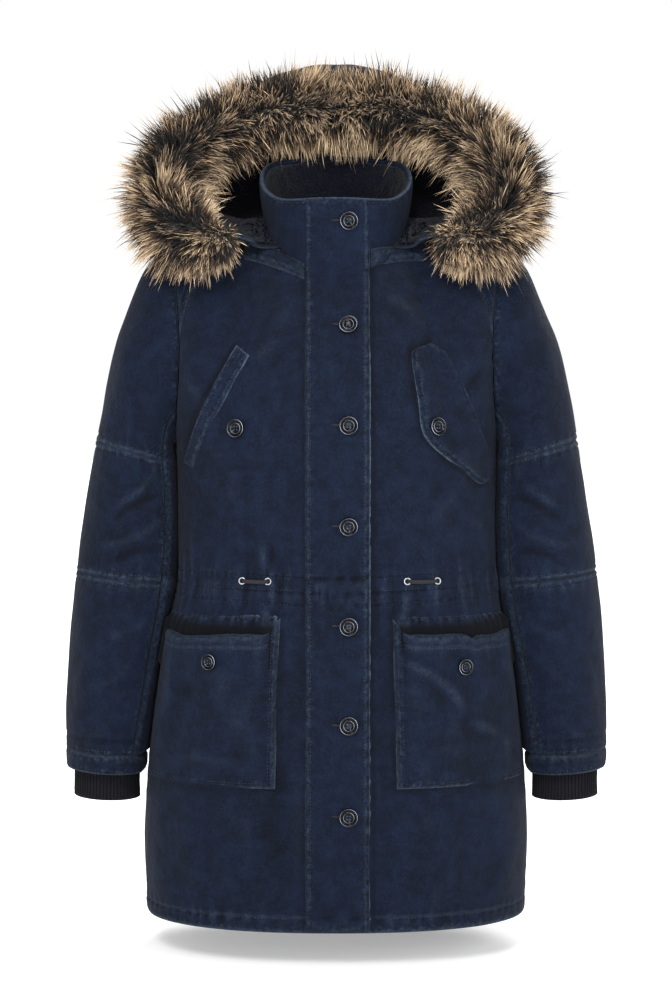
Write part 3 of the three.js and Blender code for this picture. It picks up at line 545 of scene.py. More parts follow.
def body_relief(p, share, height, facing, seed):
    """Creases of the body's cloth: unevenness, placed folds, the waist casing, the hem and the side seams."""
    x, z = p[..., 0], p[..., 2]
    s = share * 340
    total = unevenness(p, seed) + 1.25 * folds(x, z, FRONT_FOLDS if facing < 0 else BACK_FOLDS)
    if facing < 0:
        total = total * mix(0.3, 1, step(34, 66, np.abs(x)))
    total = total + casing(x, z + sag(share, z), s, seed + 20)
    hem = z - HEM_STITCH
    total = total + groove(hem, 0.8, 1.6) + puckers(s, hem, 1.2, 10, 19, seed + 30) + 0.6 * (z < HEM_STITCH)
    side = (1 - np.abs(share)) * SIDE_WIDTH
    total = total * step(0, 14, side) + puckers(z, side, 0.8, 10, 24, seed + 40)
    return total


# --- Meshes ---


def make_object(name, points, faces, material, nodes=(), uv=None, values=None, smooth_faces=True):
    """Object from points in millimetres and faces that all have as many corners, with a UV map and point
    values."""
    faces = np.asarray(faces, np.int32)
    mesh = bpy.data.meshes.new(name)
    mesh.vertices.add(len(points))
    mesh.vertices.foreach_set("co", (np.asarray(points, float) * MM).ravel())
    sides = faces.shape[1]
    mesh.loops.add(faces.size)
    mesh.loops.foreach_set("vertex_index", faces.ravel())
    mesh.polygons.add(len(faces))
    mesh.polygons.foreach_set("loop_start", np.arange(0, faces.size, sides, dtype=np.int32))
    mesh.update(calc_edges=True)
    mesh.validate()
    mesh.polygons.foreach_set("use_smooth", np.full(len(mesh.polygons), smooth_faces))
    for layer, table_uv in (uv or {}).items():
        mesh.uv_layers.new(name=layer).data.foreach_set(
            "uv", table_uv[faces.ravel()].astype(np.float32).ravel()
        )
    for key, value in (values or {}).items():
        mesh.attributes.new(key, "FLOAT", "POINT").data.foreach_set("value", value.astype(np.float32).ravel())
    obj = bpy.data.objects.new(name, mesh)
    bpy.context.scene.collection.objects.link(obj)
    mesh.materials.append(material)
    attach(obj, "root")
    if nodes:
        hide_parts(*nodes)
    return obj


def grid_faces(rows, columns, tube=False, base=0):
    """Quads of a grid of points, row by row; a tube's last column joins its first."""
    i, j = np.meshgrid(np.arange(rows - 1), np.arange(columns if tube else columns - 1), indexing="ij")
    k = (j + 1) % columns
    return np.stack(
        [i * columns + j, i * columns + k, (i + 1) * columns + k, (i + 1) * columns + j], -1
    ).reshape(-1, 4) + base


def wall_faces(rows, columns, tube=False):
    """Quads of a closed wall: the outer grid, the inner grid turned round, and the edges between them."""
    n = rows * columns
    outer = grid_faces(rows, columns, tube)
    inner = grid_faces(rows, columns, tube, n)[:, ::-1]
    j = np.arange(columns if tube else columns - 1)
    k = (j + 1) % columns
    top = (rows - 1) * columns
    parts = [
        outer, inner, np.stack([k, j, n + j, n + k], -1),
        np.stack([top + j, top + k, n + top + k, n + top + j], -1),
    ]
    if not tube:
        i = np.arange(rows - 1) * columns
        end = i + columns - 1
        parts.append(np.stack([i, i + columns, n + i + columns, n + i], -1))
        parts.append(np.stack([end + columns, end, n + end, n + end + columns], -1))
    return np.concatenate(parts)


def lengths(points):
    """Distances along the rows and columns of a grid of points, in millimetres."""
    across = np.zeros(points.shape[:2])
    up = np.zeros(points.shape[:2])
    across[:, 1:] = np.cumsum(np.linalg.norm(np.diff(points, axis=1), axis=-1), 1)
    up[1:] = np.cumsum(np.linalg.norm(np.diff(points, axis=0), axis=-1), 0)
    return across, up


def area_of(points):
    """Area of a grid of points, in square millimetres."""
    a = points[1:, 1:] - points[:-1, :-1]
    b = points[1:, :-1] - points[:-1, 1:]
    return np.linalg.norm(np.cross(a, b), axis=-1).sum() / 2


def spread(low, high, spacing, close=(), near=4.0, fine=1.3):
    """Parameter values from low to high at a spacing, closer together by the places named."""
    values = list(np.linspace(low, high, max(2, int(round(abs(high - low) / spacing)) + 1)))
    for place in close:
        values += [v for v in np.arange(place - near, place + near + fine / 2, fine) if low < v < high]
    values = np.unique(np.round(values, 5))
    keep = np.concatenate([[True], np.diff(values) > fine * 0.45])
    keep[-1] = True
    return values[keep]


def rises(height, tube=False, reach=2):
    """How far each point of a grid stands above the mean of its neighbours within a reach of cells."""
    mean = height
    for axis in (0, 1):
        pad = [(0, 0), (0, 0)]
        pad[axis] = (reach, reach)
        wide = np.pad(mean, pad, mode="wrap" if tube and axis else "edge")
        n = mean.shape[axis]
        mean = sum(np.take(wide, np.arange(k, k + n), axis) for k in range(2 * reach + 1)) / (2 * reach + 1)
    return height - mean


def cloth(name, surface, u, v, turn, relief, *, thickness=CLOTH, nodes=(), slot="twill", material=None,
          tube=False, wear=None, shade=None, tuck=1.2, held="hung", worn_edge=0.55, sheet=True, lift=0.0):
    """Piece of cloth on a surface over the grid of u and v: its outside is the surface and its relief,
    tucked in at its cut edges, and its inside is the surface moved in by its thickness."""
    across, up = np.meshgrid(np.asarray(u, float), np.asarray(v, float))
    base = surface(across, up)
    n = normals(surface, across, up, turn)
    along_u, along_v = lengths(base)
    far = np.minimum(along_v, along_v[-1:] - along_v)
    if not tube:
        far = np.minimum(far, np.minimum(along_u, along_u[:, -1:] - along_u))
    height = relief(base, across, up) if relief else np.zeros(base.shape[:2])
    fade = step(0, 6, far)
    height = height * (0.25 + 0.75 * fade) - tuck * (1 - step(0, 3.2, far)) + lift
    outer = base + n * height[..., None]
    inner = base + n * (np.minimum(height, 0.6) - thickness)[..., None]
    worn = np.exp(-((far / 1.5) ** 2)) * worn_edge
    if wear is not None:
        worn = np.maximum(worn, wear(base, across, up))
    dark = shade(base, across, up) if shade else np.zeros(base.shape[:2])
    # How far each point stands above its neighbours, which the shaders turn into painted shade in hollows and
    # painted highlights on crests.
    raised = rises(height, tube) + 0.07 * rises(height, tube, 6)
    rows, columns = base.shape[:2]
    faces = wall_faces(rows, columns, tube)
    if turn < 0:
        faces = faces[:, ::-1]
    uv = np.stack([along_u, along_v], -1).reshape(-1, 2) * MM
    obj = make_object(
        name, np.concatenate([outer.reshape(-1, 3), inner.reshape(-1, 3)]), faces,
        material or finish("twill"), nodes, {"Cloth": np.concatenate([uv, uv])},
        {
            "wear": np.concatenate([worn.ravel(), worn.ravel() * 0]),
            "crease": np.concatenate([raised.ravel()] * 2), "shade": np.concatenate([dark.ravel()] * 2),
            # Nearness to the cut edges, for the gathers along seams and their painted shade and painted
            # highlights.
            "seam": np.concatenate([hump(far - 4.5, 4.0).ravel(), 0 * worn.ravel()]),
        },
    )
    if sheet:
        width, length = along_u[:, -1].max() * MM, along_v[-1].max() * MM
        if tube:
            width += np.linalg.norm(base[:, 0] - base[:, -1], axis=-1).max() * MM
        flat = area_of(np.concatenate([base, base[:, :1]], 1) if tube else base) * MM**2
        float(np.clip(flat, 0.31 * width * length, width * length))
    return obj


# --- Shader nodes ---


class Socket:
    """Output socket that takes part in arithmetic: each operator adds a Math node."""

    def __init__(self, shader, output):
        self.shader, self.output = shader, output

    def math(self, operation, *others, swap=False):
        """Math node of the operation, with this socket first, or last if swapped."""
        values = [self, *others]
        if swap:
            values.reverse()
        return self.shader.node(
            "ShaderNodeMath", {"operation": operation}, {i: v for i, v in enumerate(values)}
        )

    def __add__(self, other):
        return self.math("ADD", other)

    __radd__ = __add__

    def __mul__(self, other):
        return self.math("MULTIPLY", other)

    __rmul__ = __mul__

    def __sub__(self, other):
        return self.math("SUBTRACT", other)

    def __rsub__(self, other):
        return self.math("SUBTRACT", other, swap=True)

    def __truediv__(self, other):
        return self.math("DIVIDE", other)

    def __rtruediv__(self, other):
        return self.math("DIVIDE", other, swap=True)

    def __pow__(self, other):
        return self.math("POWER", other)

    def __rpow__(self, other):
        return self.math("POWER", other, swap=True)

    def clamp(self, low, high):
        """0 at low, 1 at high."""
        return self.shader.node(
            "ShaderNodeMapRange", {"clamp": True}, {"Value": self, "From Min": low, "From Max": high}
        )


class Shader:
    """Node tree under construction, of a material or a world, with the shader that it begins with."""

    def __init__(self, owner, first="Principled BSDF"):
        self.owner = owner
        owner.use_nodes = True
        self.tree = owner.node_tree
        self.first = self.tree.nodes[first]

    def node(self, kind, settings=None, inputs=None, output=0):
        """Adds a node: its settings first, then the value or link of each named or numbered socket."""
        node = self.tree.nodes.new(kind)
        for key, value in (settings or {}).items():
            if key == "stops":
                ramp = node.color_ramp.elements
                while len(ramp) > 1:
                    ramp.remove(ramp[-1])
                ramp[0].position, ramp[0].color = value[0]
                for position, colour in value[1:]:
                    ramp.new(position).color = colour
            else:
                setattr(node, key, value)
        for key, value in (inputs or {}).items():
            self.put(node.inputs[key], value)
        return Socket(self, node.outputs[output])

    def put(self, socket, value):
        """Links a socket's output to another socket, or gives it a plain value."""
        if isinstance(value, Socket):
            self.tree.links.new(value.output, socket)
        else:
            socket.default_value = value

    def set(self, **values):
        """Sets the first shader's sockets, with _ for the space in a name, and gives the tree's owner."""
        for key, value in values.items():
            self.put(self.first.inputs[key.replace("_", " ")], value)
        return self.owner

    def mix(self, factor, a, b):
        """Colour a at factor 0 and b at factor 1."""
        return self.node("ShaderNodeMix", {"data_type": "RGBA"}, {0: factor, 6: a, 7: b}, 2)

    def place(self):
        """Object coordinates, in metres."""
        return self.node("ShaderNodeTexCoord", output="Object")

    def flat(self):
        """The cloth's own coordinates, in metres along it."""
        return self.node("ShaderNodeUVMap", {"uv_map": "Cloth"})

    def wave(self, direction, vector, scale, distortion, **more):
        """Bands along a direction, from 0 to 1."""
        inputs = {"Vector": vector, "Scale": scale, "Distortion": distortion, **more}
        return self.node("ShaderNodeTexWave", {"bands_direction": direction}, inputs, "Fac")

    def noise(self, scale, vector=None, detail=3.0, roughness=0.55):
        """Noise from 0 to 1 over a vector, or over the object's coordinates."""
        inputs = {"Vector": vector or self.place(), "Scale": scale, "Detail": detail, "Roughness": roughness}
        return self.node("ShaderNodeTexNoise", {}, inputs)

    def attribute(self, name):
        """One of the points' own values."""
        return self.node("ShaderNodeAttribute", {"attribute_name": name}, output="Fac")

    def bump(self, height, strength, distance):
        """Normal raised by a height from 0 to 1 over a distance in metres."""
        return self.node("ShaderNodeBump", {}, {"Strength": strength, "Distance": distance, "Height": height})


FINISHES = {}


def finish(name):
    """The material of a name, made on first use."""
    if name not in FINISHES:
        FINISHES[name] = MAKERS[name]()
    return FINISHES[name]


def colour(name, share=1.0):
    """RGBA of a colour in the panel, made lighter or darker by a share."""
    return tuple(min(1.0, c * share) for c in getattr(bpy.context.scene.parka_colours, name)[:3]) + (1.0,)


def new_shader(name):
    """Shader of a new material."""
    return Shader(bpy.data.materials.new(name))


def twill():
    """Washed cotton twill: mottled indigo, paler where seams and edges are worn, with a diagonal rib and
    slubs;
    painted shade in its hollows, beside edges and between seam gathers, and painted highlights on its crests."""
    sh = new_shader("Washed twill")
    place = sh.place()
    flat = sh.flat()
    broad = sh.noise(7.0, place, 5.0)
    cloud = sh.noise(60.0, place, 6.0, 0.72)
    grain = sh.noise(420.0, place, 2.0, 0.7)
    slub = sh.noise(
        150.0, sh.node("ShaderNodeMapping", {}, {"Vector": flat, "Scale": (4.0, 0.7, 1.0)}), 4.0, 0.7
    )
    tone = sh.mix(broad.clamp(0.35, 0.65), colour("twill", 0.8), colour("twill", 1.15))
    tone = sh.mix(cloud.clamp(0.45, 0.72) * 0.5, tone, colour("twill", 2.3))
    tone = sh.mix((0.52 - cloud).clamp(0.0, 0.2) * 0.55, tone, colour("twill", 0.45))
    tone = sh.mix(slub.clamp(0.52, 0.8) * 0.35, tone, colour("twill", 3.0))
    tone = sh.mix(grain.clamp(0.5, 0.9) * 0.2, tone, colour("worn", 0.4))
    tone = sh.mix((0.5 - grain).clamp(0.0, 0.25) * 0.4, tone, colour("twill", 0.5))
    patchy = sh.noise(230.0, place, 3.0, 0.7)
    rubbed = sh.attribute("wear") * patchy.clamp(0.2, 0.62)
    # Painted shade in the relief's hollows, and paler crests that are partly rubbed wear and partly painted
    # highlight.
    crease = sh.attribute("crease")
    tone = sh.mix((crease * -1.0).clamp(0.06, 1.0) * 0.85, tone, colour("twill", 0.22))
    tone = sh.mix(crease.clamp(0.15, 1.3) * 0.32 * patchy.clamp(0.3, 0.7), tone, colour("worn", 0.5))
    tone = sh.mix(rubbed * 0.9, tone, colour("worn"))
    # Along seams: gathers paler on their crests, partly rubbed wear and partly painted highlight, with
    # painted shade between them.
    seam, gather = sh.attribute("seam"), sh.noise(205.0, place, 2.0, 0.5)
    tone = sh.mix(seam * gather.clamp(0.54, 0.72) * 0.27, tone, colour("worn", 0.55))
    tone = sh.mix(seam * (0.48 - gather).clamp(0.0, 0.14) * 0.6, tone, colour("twill", 0.25))
    tone = sh.mix(sh.attribute("shade"), tone, colour("twill", 0.12))
    ribs = sh.wave("DIAGONAL", flat, 230.0, 0.6, Detail=1.0)
    crinkle = sh.noise(95.0, place, 4.0, 0.6)
    height = ribs * 0.3 + grain * 0.5 + crinkle * 2.6 + slub * 0.8 + seam * gather * 3.0
    sh.set(Base_Color=tone, Roughness=0.9 - 0.12 * cloud, Normal=sh.bump(height, 0.75, 0.0009))
    return sh.set(Specular_IOR_Level=0.12, Sheen_Weight=0.02, Sheen_Roughness=0.5)


def pile():
    """Black pile: deep tufts with pale tips."""
    sh = new_shader("Black pile")
    place = sh.place()
    tufts = sh.noise(330.0, place, 3.0, 0.7)
    sh.set(Base_Color=sh.mix(tufts.clamp(0.35, 0.8), colour("pile", 0.4), colour("pile", 1.8)), Roughness=1.0)
    return sh.set(Normal=sh.bump(tufts, 1.0, 0.003), Specular_IOR_Level=0.08, Sheen_Weight=0.06)


def rib_knit():
    """Rib knit: rows of small loops along the ribs."""
    sh = new_shader("Rib knit")
    flat = sh.flat()
    loops = sh.wave("Y", flat, 160.0, 1.0)
    fuzz = sh.noise(500.0, None, 3.0, 0.7)
    # Painted shade between the ribs and painted highlights on them, from the relief.
    tone = sh.mix(sh.attribute("crease").clamp(-0.4, 0.8), colour("rib", 0.35), colour("rib", 1.25))
    sh.set(Base_Color=sh.mix(fuzz.clamp(0.4, 0.8) * 0.4, tone, colour("rib", 1.9)), Roughness=0.95)
    return sh.set(
        Normal=sh.bump(loops * 0.6 + fuzz * 0.6, 0.6, 0.0007), Specular_IOR_Level=0.1, Sheen_Weight=0.04
    )


def fur_hair():
    """Fur: dark at the root, brown along the hair and pale at the tip, each hair a little different."""
    sh = new_shader("Fur")
    tip, tint = sh.attribute("tip"), sh.attribute("tint")
    ramp = sh.node(
        "ShaderNodeValToRGB",
        {
            "stops": [
                (0.0, colour("fur_root")), (0.5, colour("fur_root", 1.6)), (0.66, colour("fur_mid")),
                (0.86, colour("fur_tip", 0.9)), (1.0, colour("fur_tip", 1.35)),
            ]
        },
        {"Fac": tip + (tint - 0.57) * 0.56},
    )
    tone = sh.mix((0.36 - tint).clamp(0.0, 0.1) * 0.94, ramp, colour("fur_root", 1.2))
    return sh.set(Base_Color=tone, Roughness=0.62, Specular_IOR_Level=0.3, Sheen_Weight=0.1)


def horn():
    """Polished dark button, with painted highlights on its rims."""
    sh = new_shader("Polished button")
    cloud = sh.noise(160.0, None, 4.0)
    tone = sh.mix(cloud, colour("button", 0.4), colour("button", 1.3))
    sh.set(Base_Color=sh.mix(sh.attribute("rim"), tone, (0.5, 0.53, 0.6, 1)), Roughness=0.1 + 0.08 * cloud)
    return sh.set(Coat_Weight=0.05, Coat_Roughness=0.04, Specular_IOR_Level=0.1)


def metal(name, tone, roughness):
    """Metal with fine dull patches."""
    sh = new_shader(name)
    dull = sh.noise(700.0, None, 3.0)
    return sh.set(
        Base_Color=sh.mix(dull, (*[c * 0.6 for c in tone], 1), (*tone, 1)), Metallic=1.0,
        Roughness=roughness + 0.25 * dull,
    )


def braid():
    """Flat braided cord: a herringbone of fine yarns."""
    sh = new_shader("Braided cord")
    flat = sh.flat()
    plait = sh.wave("DIAGONAL", flat, 260.0, 2.0)
    sh.set(Base_Color=sh.mix(plait, (0.005, 0.005, 0.007, 1), (0.024, 0.02, 0.023, 1)), Roughness=0.8)
    return sh.set(Normal=sh.bump(plait, 0.8, 0.0006), Specular_IOR_Level=0.3)


def thread():
    """Sewing thread, paler than the cloth."""
    sh = new_shader("Thread")
    tone = sh.noise(260.0, None, 3.0)
    return sh.set(
        Base_Color=sh.mix(tone.clamp(0.3, 0.7), colour("twill", 1.6), colour("worn", 0.62)), Roughness=0.8,
        Specular_IOR_Level=0.1,
    )


def glowing_floor():
    """Pale floor that glows as painted light: faintly beside the coat, lightening its shadow there, and plain
    white further away.
    """
    sh = new_shader("Pale floor")
    place = sh.place()
    far = sh.node("ShaderNodeVectorMath", {"operation": "LENGTH"}, {0: place}, "Value").clamp(1.15, 2.4)
    faint = sh.noise(2.0, place, 2.0)
    sh.set(
        Base_Color=sh.mix(faint, (0.9, 0.9, 0.9, 1), (0.93, 0.93, 0.93, 1)), Roughness=0.9,
        Specular_IOR_Level=0.05,
    )
    return sh.set(Emission_Color=sh.mix(far, (0.3, 0.3, 0.3, 1), (1, 1, 1, 1)), Emission_Strength=1.0)


MAKERS = {
    "twill": twill,
    "pile": pile,
    "rib_knit": rib_knit,
    "fur": fur_hair,
    "button": horn,
    "nickel": lambda: metal("Nickel", (0.55, 0.56, 0.58), 0.22),
    "brass": lambda: metal("Aged brass", (0.55, 0.47, 0.3), 0.25),
    "braid": braid,
    "thread": thread,
    "floor": glowing_floor,
}

# --- Helpers for pieces that lie on others ---

GRIDS = {}


def build(name, surface, u, v, turn, relief=None, **options):
    """Makes a piece of cloth and keeps its outside as a grid, for stitches and buttons to stand on."""
    obj = cloth(name, surface, u, v, turn, relief, **options)
    rows, columns = len(v), len(u)
    points = np.empty(len(obj.data.vertices) * 3, np.float32)
    obj.data.vertices.foreach_get("co", points)
    outer = points.reshape(-1, 3)[: rows * columns].reshape(rows, columns, 3).astype(float) / MM
    GRIDS[name] = (np.asarray(u, float), np.asarray(v, float), outer, turn)
    return obj


def on_grid(name, u, v):
    """Points and unit normals of a made piece at u and v, between its grid's points in proportion."""
    us, vs, outer, turn = GRIDS[name]
    i = np.clip(np.searchsorted(vs, v) - 1, 0, len(vs) - 2)
    j = np.clip(np.searchsorted(us, u) - 1, 0, len(us) - 2)
    a = np.clip((u - us[j]) / (us[j + 1] - us[j]), 0, 1)[:, None]
    b = np.clip((v - vs[i]) / (vs[i + 1] - vs[i]), 0, 1)[:, None]
    low, high = mix(outer[i, j], outer[i, j + 1], a), mix(outer[i + 1, j], outer[i + 1, j + 1], a)
    n = np.cross(outer[i, j + 1] - outer[i, j], outer[i + 1, j] - outer[i, j]) * turn
    return mix(low, high, b), unit(n)


def front_share(x, z):
    """Share and height of the front at an x and z seen from ahead. Below the armpit the section's formula is
    turned round; above it, Newton's method is run from a guess."""
    x, z = np.broadcast_arrays(np.asarray(x, float), np.asarray(z, float))
    low = np.minimum(z, ARMPIT_Z)
    ratio = np.clip(np.abs(x) / along(BODY, "z", "half_width", low), 0, 1)
    share = np.arcsin(ratio ** (along(BODY, "z", "square", low) / 2)) * 2 / np.pi
    rise = np.clip((z - ARMPIT_Z) / SHOULDER_RISE, 0, 1)
    for _ in range(24):
        p = upper(share, rise, -1)
        ds, dr = (upper(share + 1e-4, rise, -1) - p) * 1e4, (upper(share, rise + 1e-4, -1) - p) * 1e4
        ex, ez = np.abs(x) - p[..., 0], z - p[..., 2]
        det = ds[..., 0] * dr[..., 2] - ds[..., 2] * dr[..., 0]
        det = np.where(np.abs(det) < 1e-3, 1e-3, det)
        high = z > ARMPIT_Z
        share = np.where(
            high, np.clip(share + np.clip((ex * dr[..., 2] - ez * dr[..., 0]) / det, -0.1, 0.1), 0, 1), share
        )
        rise = np.where(
            high, np.clip(rise + np.clip((ez * ds[..., 0] - ex * ds[..., 2]) / det, -0.2, 0.2), 0, 1), rise
        )
    height = np.where(z > ARMPIT_Z, 1 + rise, front_height(z))
    return share * sign(x), height


def on_front(x, z):
    """Point of the coat's front seen from ahead at x and z: the body, and above the neck seam the collar."""
    share, height = front_share(x, z)
    y = body(share, height, -1)[..., 1]
    reach, angle = np.zeros_like(y), np.zeros_like(y)
    for _ in range(6):
        wide = mix(NECK["half_width"], COLLAR["half_width"], reach)
        angle = np.degrees(np.arcsin(np.clip(x / wide, -1, 1)))
        low = neck(angle)[..., 2]
        reach = np.clip((z - low) / (along(COLLAR_TOP, "angle", "z", np.abs(angle)) - low), 0, 1)
    at_collar = collar(angle, reach)[..., 1]
    return stack(x, mix(y, at_collar, step(-6, 2, z - low)), z)


def front_relief(p):
    """Relief of the front under a piece that lies on it."""
    share, height = front_share(p[..., 0], p[..., 2])
    low = np.clip(p[..., 2], HEM_Z, 60)
    q = stack(p[..., 0], p[..., 1], low)
    parts = [body_relief(q, share, height, -1, SEEDS[name]) for name in ("front_right", "front_left")]
    blend = step(-8, 8, p[..., 0])
    return mix(parts[0], parts[1], blend) * (1 - step(-60, -10, p[..., 2]))


def tube(path, radii, sides=12, flat=1.0, up=(0, 0, 1)):
    """Rings of points round a path: ovals across it, flattened along the second of their axes. The first
    axis is square to the path and to up."""
    path = np.asarray(path, float)
    ahead = unit(np.gradient(path, axis=0))
    first = unit(np.cross(ahead, np.broadcast_to(up, path.shape)))
    second = np.cross(first, ahead)
    a = np.linspace(0, 2 * np.pi, sides, endpoint=False)
    radii = np.broadcast_to(np.asarray(radii, float), len(path))[:, None, None]
    ring = first[:, None] * np.cos(a)[None, :, None] + flat * second[:, None] * np.sin(a)[None, :, None]
    return path[:, None] + ring * radii


def capped(rings):
    """Points of a closed tube of rings, with the middle of either end added, and its triangles."""
    count, sides = rings.shape[:2]
    points = np.concatenate([rings.reshape(-1, 3), rings[:1].mean(1), rings[-1:].mean(1)])
    q = grid_faces(count, sides, True)
    j = np.arange(sides)
    k = (j + 1) % sides
    last = (count - 1) * sides
    start, end = np.full(sides, count * sides), np.full(sides, count * sides + 1)
    faces = np.concatenate(
        [
            q[:, [0, 1, 2]], q[:, [0, 2, 3]], np.stack([start, k, j], -1),
            np.stack([end, last + j, last + k], -1),
        ]
    )
    return points, outward(points, faces)


def outward(points, faces):
    """Faces turned so that the volume they enclose is positive."""
    a, b, c = (points[faces[:, i]] for i in range(3))
    return faces if np.einsum("ij,ij->", a, np.cross(b, c)) > 0 else faces[:, ::-1]


def lathe(profile, segments):
    """Closed solid turned about the z axis: rings of the profile's radius and height, with its two ends on
    the axis."""
    profile = np.asarray(profile, float)
    a = np.linspace(0, 2 * np.pi, segments, endpoint=False)
    rings = np.stack(
        [
            profile[1:-1, :1] * np.cos(a), profile[1:-1, :1] * np.sin(a),
            np.repeat(profile[1:-1, 1:], segments, 1),
        ],
        -1,
    )
    points, faces = capped(rings)
    points[-2], points[-1] = (0, 0, profile[0, 1]), (0, 0, profile[-1, 1])
    return points, outward(points, faces)


def stand(points, place, normal):
    """Points turned so that their z axis is the normal, and moved to a place."""
    z = np.asarray(normal, float) / np.linalg.norm(normal)
    x = np.cross((0, 0, 1), z)
    x /= np.linalg.norm(x)
    return points @ np.stack([x, np.cross(z, x), z]) + place


def stitches(name, lines, pitch=4.2, length=2.3, half=0.45):
    """Rows of stitches as one mesh: each stitch is a long octahedron that lies along its line, half sunk in
    the cloth. A line is a piece's name with arrays of u and v."""
    starts, ends, sides = [], [], []
    for piece, u, v in lines:
        u, v = np.broadcast_arrays(np.asarray(u, float), np.asarray(v, float))
        p, n = on_grid(piece, u, v)
        run = np.concatenate([[0], np.cumsum(np.linalg.norm(np.diff(p, axis=0), axis=1))])
        at = np.arange(1.0, run[-1] - length, pitch)
        pick = lambda s, q: np.stack([np.interp(s, run, q[:, i]) for i in range(3)], -1)
        out = pick(at + length / 2, n)
        starts.append(pick(at, p) + out * 0.05)
        ends.append(pick(at + length, p) + out * 0.05)
        sides.append(out)
    a, b, n = (np.concatenate(part) for part in (starts, ends, sides))
    middle, ahead = (a + b) / 2, b - a
    across = unit(np.cross(n, ahead))
    points = np.stack(
        [a, b, middle + across * half, middle + n * half, middle - across * half, middle - n * half], 1
    )
    ring = np.array([[0, 3, 2], [0, 4, 3], [0, 5, 4], [0, 2, 5], [1, 2, 3], [1, 3, 4], [1, 4, 5], [1, 5, 2]])
    faces = (np.arange(len(a))[:, None, None] * 6 + ring).reshape(-1, 3)
    return make_object(name, points.reshape(-1, 3), faces, finish("thread"), smooth_faces=False)


MAP_SQUARE, MAP_FROM, MAP_CELLS = 6, (270, 180), (90, 60)


def top_map():
    """Map of the shoulders' height: the highest z of the body over each square."""
    share, rise = np.meshgrid(np.linspace(-1, 1, 260), np.linspace(1, 2, 220))
    points = np.concatenate([body(share, rise, facing).reshape(-1, 3) for facing in (-1, 1)])
    cells = np.full(MAP_CELLS, -400.0)
    i, j = (
        np.clip(((points[:, k] + MAP_FROM[k]) / MAP_SQUARE).astype(int), 0, MAP_CELLS[k] - 1) for k in (0, 1)
    )
    np.maximum.at(cells, (i, j), points[:, 2])
    return cells


def over_shoulders(p, gap):
    """Points raised to a gap above the shoulders wherever they lie lower, within 90 mm of their top."""
    cells = OVER.setdefault("map", top_map())
    fx, fy = (np.clip((p[..., k] + MAP_FROM[k]) / MAP_SQUARE - 0.5, 0, MAP_CELLS[k] - 1.001) for k in (0, 1))
    i, j = fx.astype(int), fy.astype(int)
    high = np.maximum.reduce([cells[i, j], cells[i + 1, j], cells[i, j + 1], cells[i + 1, j + 1]]) + gap
    short = np.clip(high - p[..., 2], 0, 90)
    raised = p.copy()
    raised[..., 2] += np.where(high - p[..., 2] < 90, short, 0)
    return raised


OVER = {}

# --- Properties ---


def tint(name, description, value):
    """Colour property."""
    return bpy.props.FloatVectorProperty(
        name=name, description=description, default=value, size=3, min=0, max=1, subtype="COLOR"
    )


def metres(name, description, default, low, high):
    """Length property, in metres."""
    return bpy.props.FloatProperty(name=name, description=description, default=default, min=low, max=high,
                                   subtype="DISTANCE", unit="LENGTH")


class ParkaColours(bpy.types.PropertyGroup):
    """Colours of the coat"""

    twill: tint("Twill", "The coat's cotton", (0.0019, 0.0048, 0.0146))
    # Paler twill: real rubbed wear, and also the colour of the painted highlights on the cloth's crests and
    # seam gathers.
    worn: tint("Worn twill", "Cotton where seams and edges are rubbed", (0.085, 0.125, 0.185))
    pile: tint("Pile", "Lining of the hood and the collar", (0.0045, 0.0055, 0.011))
    rib: tint("Rib", "Knitted cuffs", (0.0065, 0.0068, 0.0095))
    button: tint("Buttons", "Polished buttons", (0.0025, 0.0032, 0.006))
    fur_root: tint("Fur root", "Fur near the skin", (0.0055, 0.0045, 0.004))
    fur_mid: tint("Fur", "Fur half way along", (0.13, 0.07, 0.032))
    fur_tip: tint("Fur tip", "Fur's pale tips", (0.52, 0.39, 0.25))


class ParkaSizes(bpy.types.PropertyGroup):
    """Sizes of the coat's small parts"""

    cell: metres("Cell", "Spacing of the cloth's points", 0.0036, 0.002, 0.02)
    button: metres("Button", "Diameter of the front's buttons", 0.0224, 0.01, 0.04)
    pocket_button: metres("Pocket button", "Diameter of the lower pockets' buttons", 0.0196, 0.01, 0.04)
    fur_length: metres("Fur length", "Reach of the longest fur", 0.059, 0.01, 0.08)
    fur_count: bpy.props.IntProperty(
        name="Hairs", description="Number of hairs in the trim", default=50000, min=1000, max=100000
    )


def sizes():
    """Sizes set in the panel."""
    return bpy.context.scene.parka_sizes


def cell():
    """Spacing of the cloth's points, in millimetres."""
    return sizes().cell / MM


# --- Operators ---


class Maker(bpy.types.Operator):
    """Base of the operators that make a group of pieces"""

    bl_options = {"REGISTER", "UNDO"}

    def execute(self, context):
        before = len(bpy.data.objects)
        self.make(context)
        if len(bpy.data.objects) == before:
            raise RuntimeError(f"{self.bl_label} made nothing")
        return {"FINISHED"}


def body_heights(c, shoulder_rise, *extra):
    """Heights of a body panel's rows of points: even, and closer at the hem, the casing and extra places."""
    low = spread(0, 1, c * 1.15 / BODY_RISE, fine=0.002)
    high = spread(1, 2, c * 1.3 / shoulder_rise, fine=0.002)
    rows = front_height(np.concatenate([HEM_Z + np.array([0.8, 1.8, 5.0]), near(HEM_STITCH, *CASING_ROWS)]))
    heights = np.unique(np.round(np.concatenate([low, high[1:], rows, *extra]), 5))
    heights = heights[np.concatenate([[True], np.diff(heights) > 0.0008])]
    heights[-1] = 2
    return heights


def hem_wear(p, share, height):
    """Wear of a body panel's bottom edge and of the hem's stitching."""
    z = p[..., 2]
    return np.maximum(0.75 * np.exp(-(z - HEM_Z) / 1.6), 0.16 * hump(z - HEM_STITCH - 1.5, 1.6))


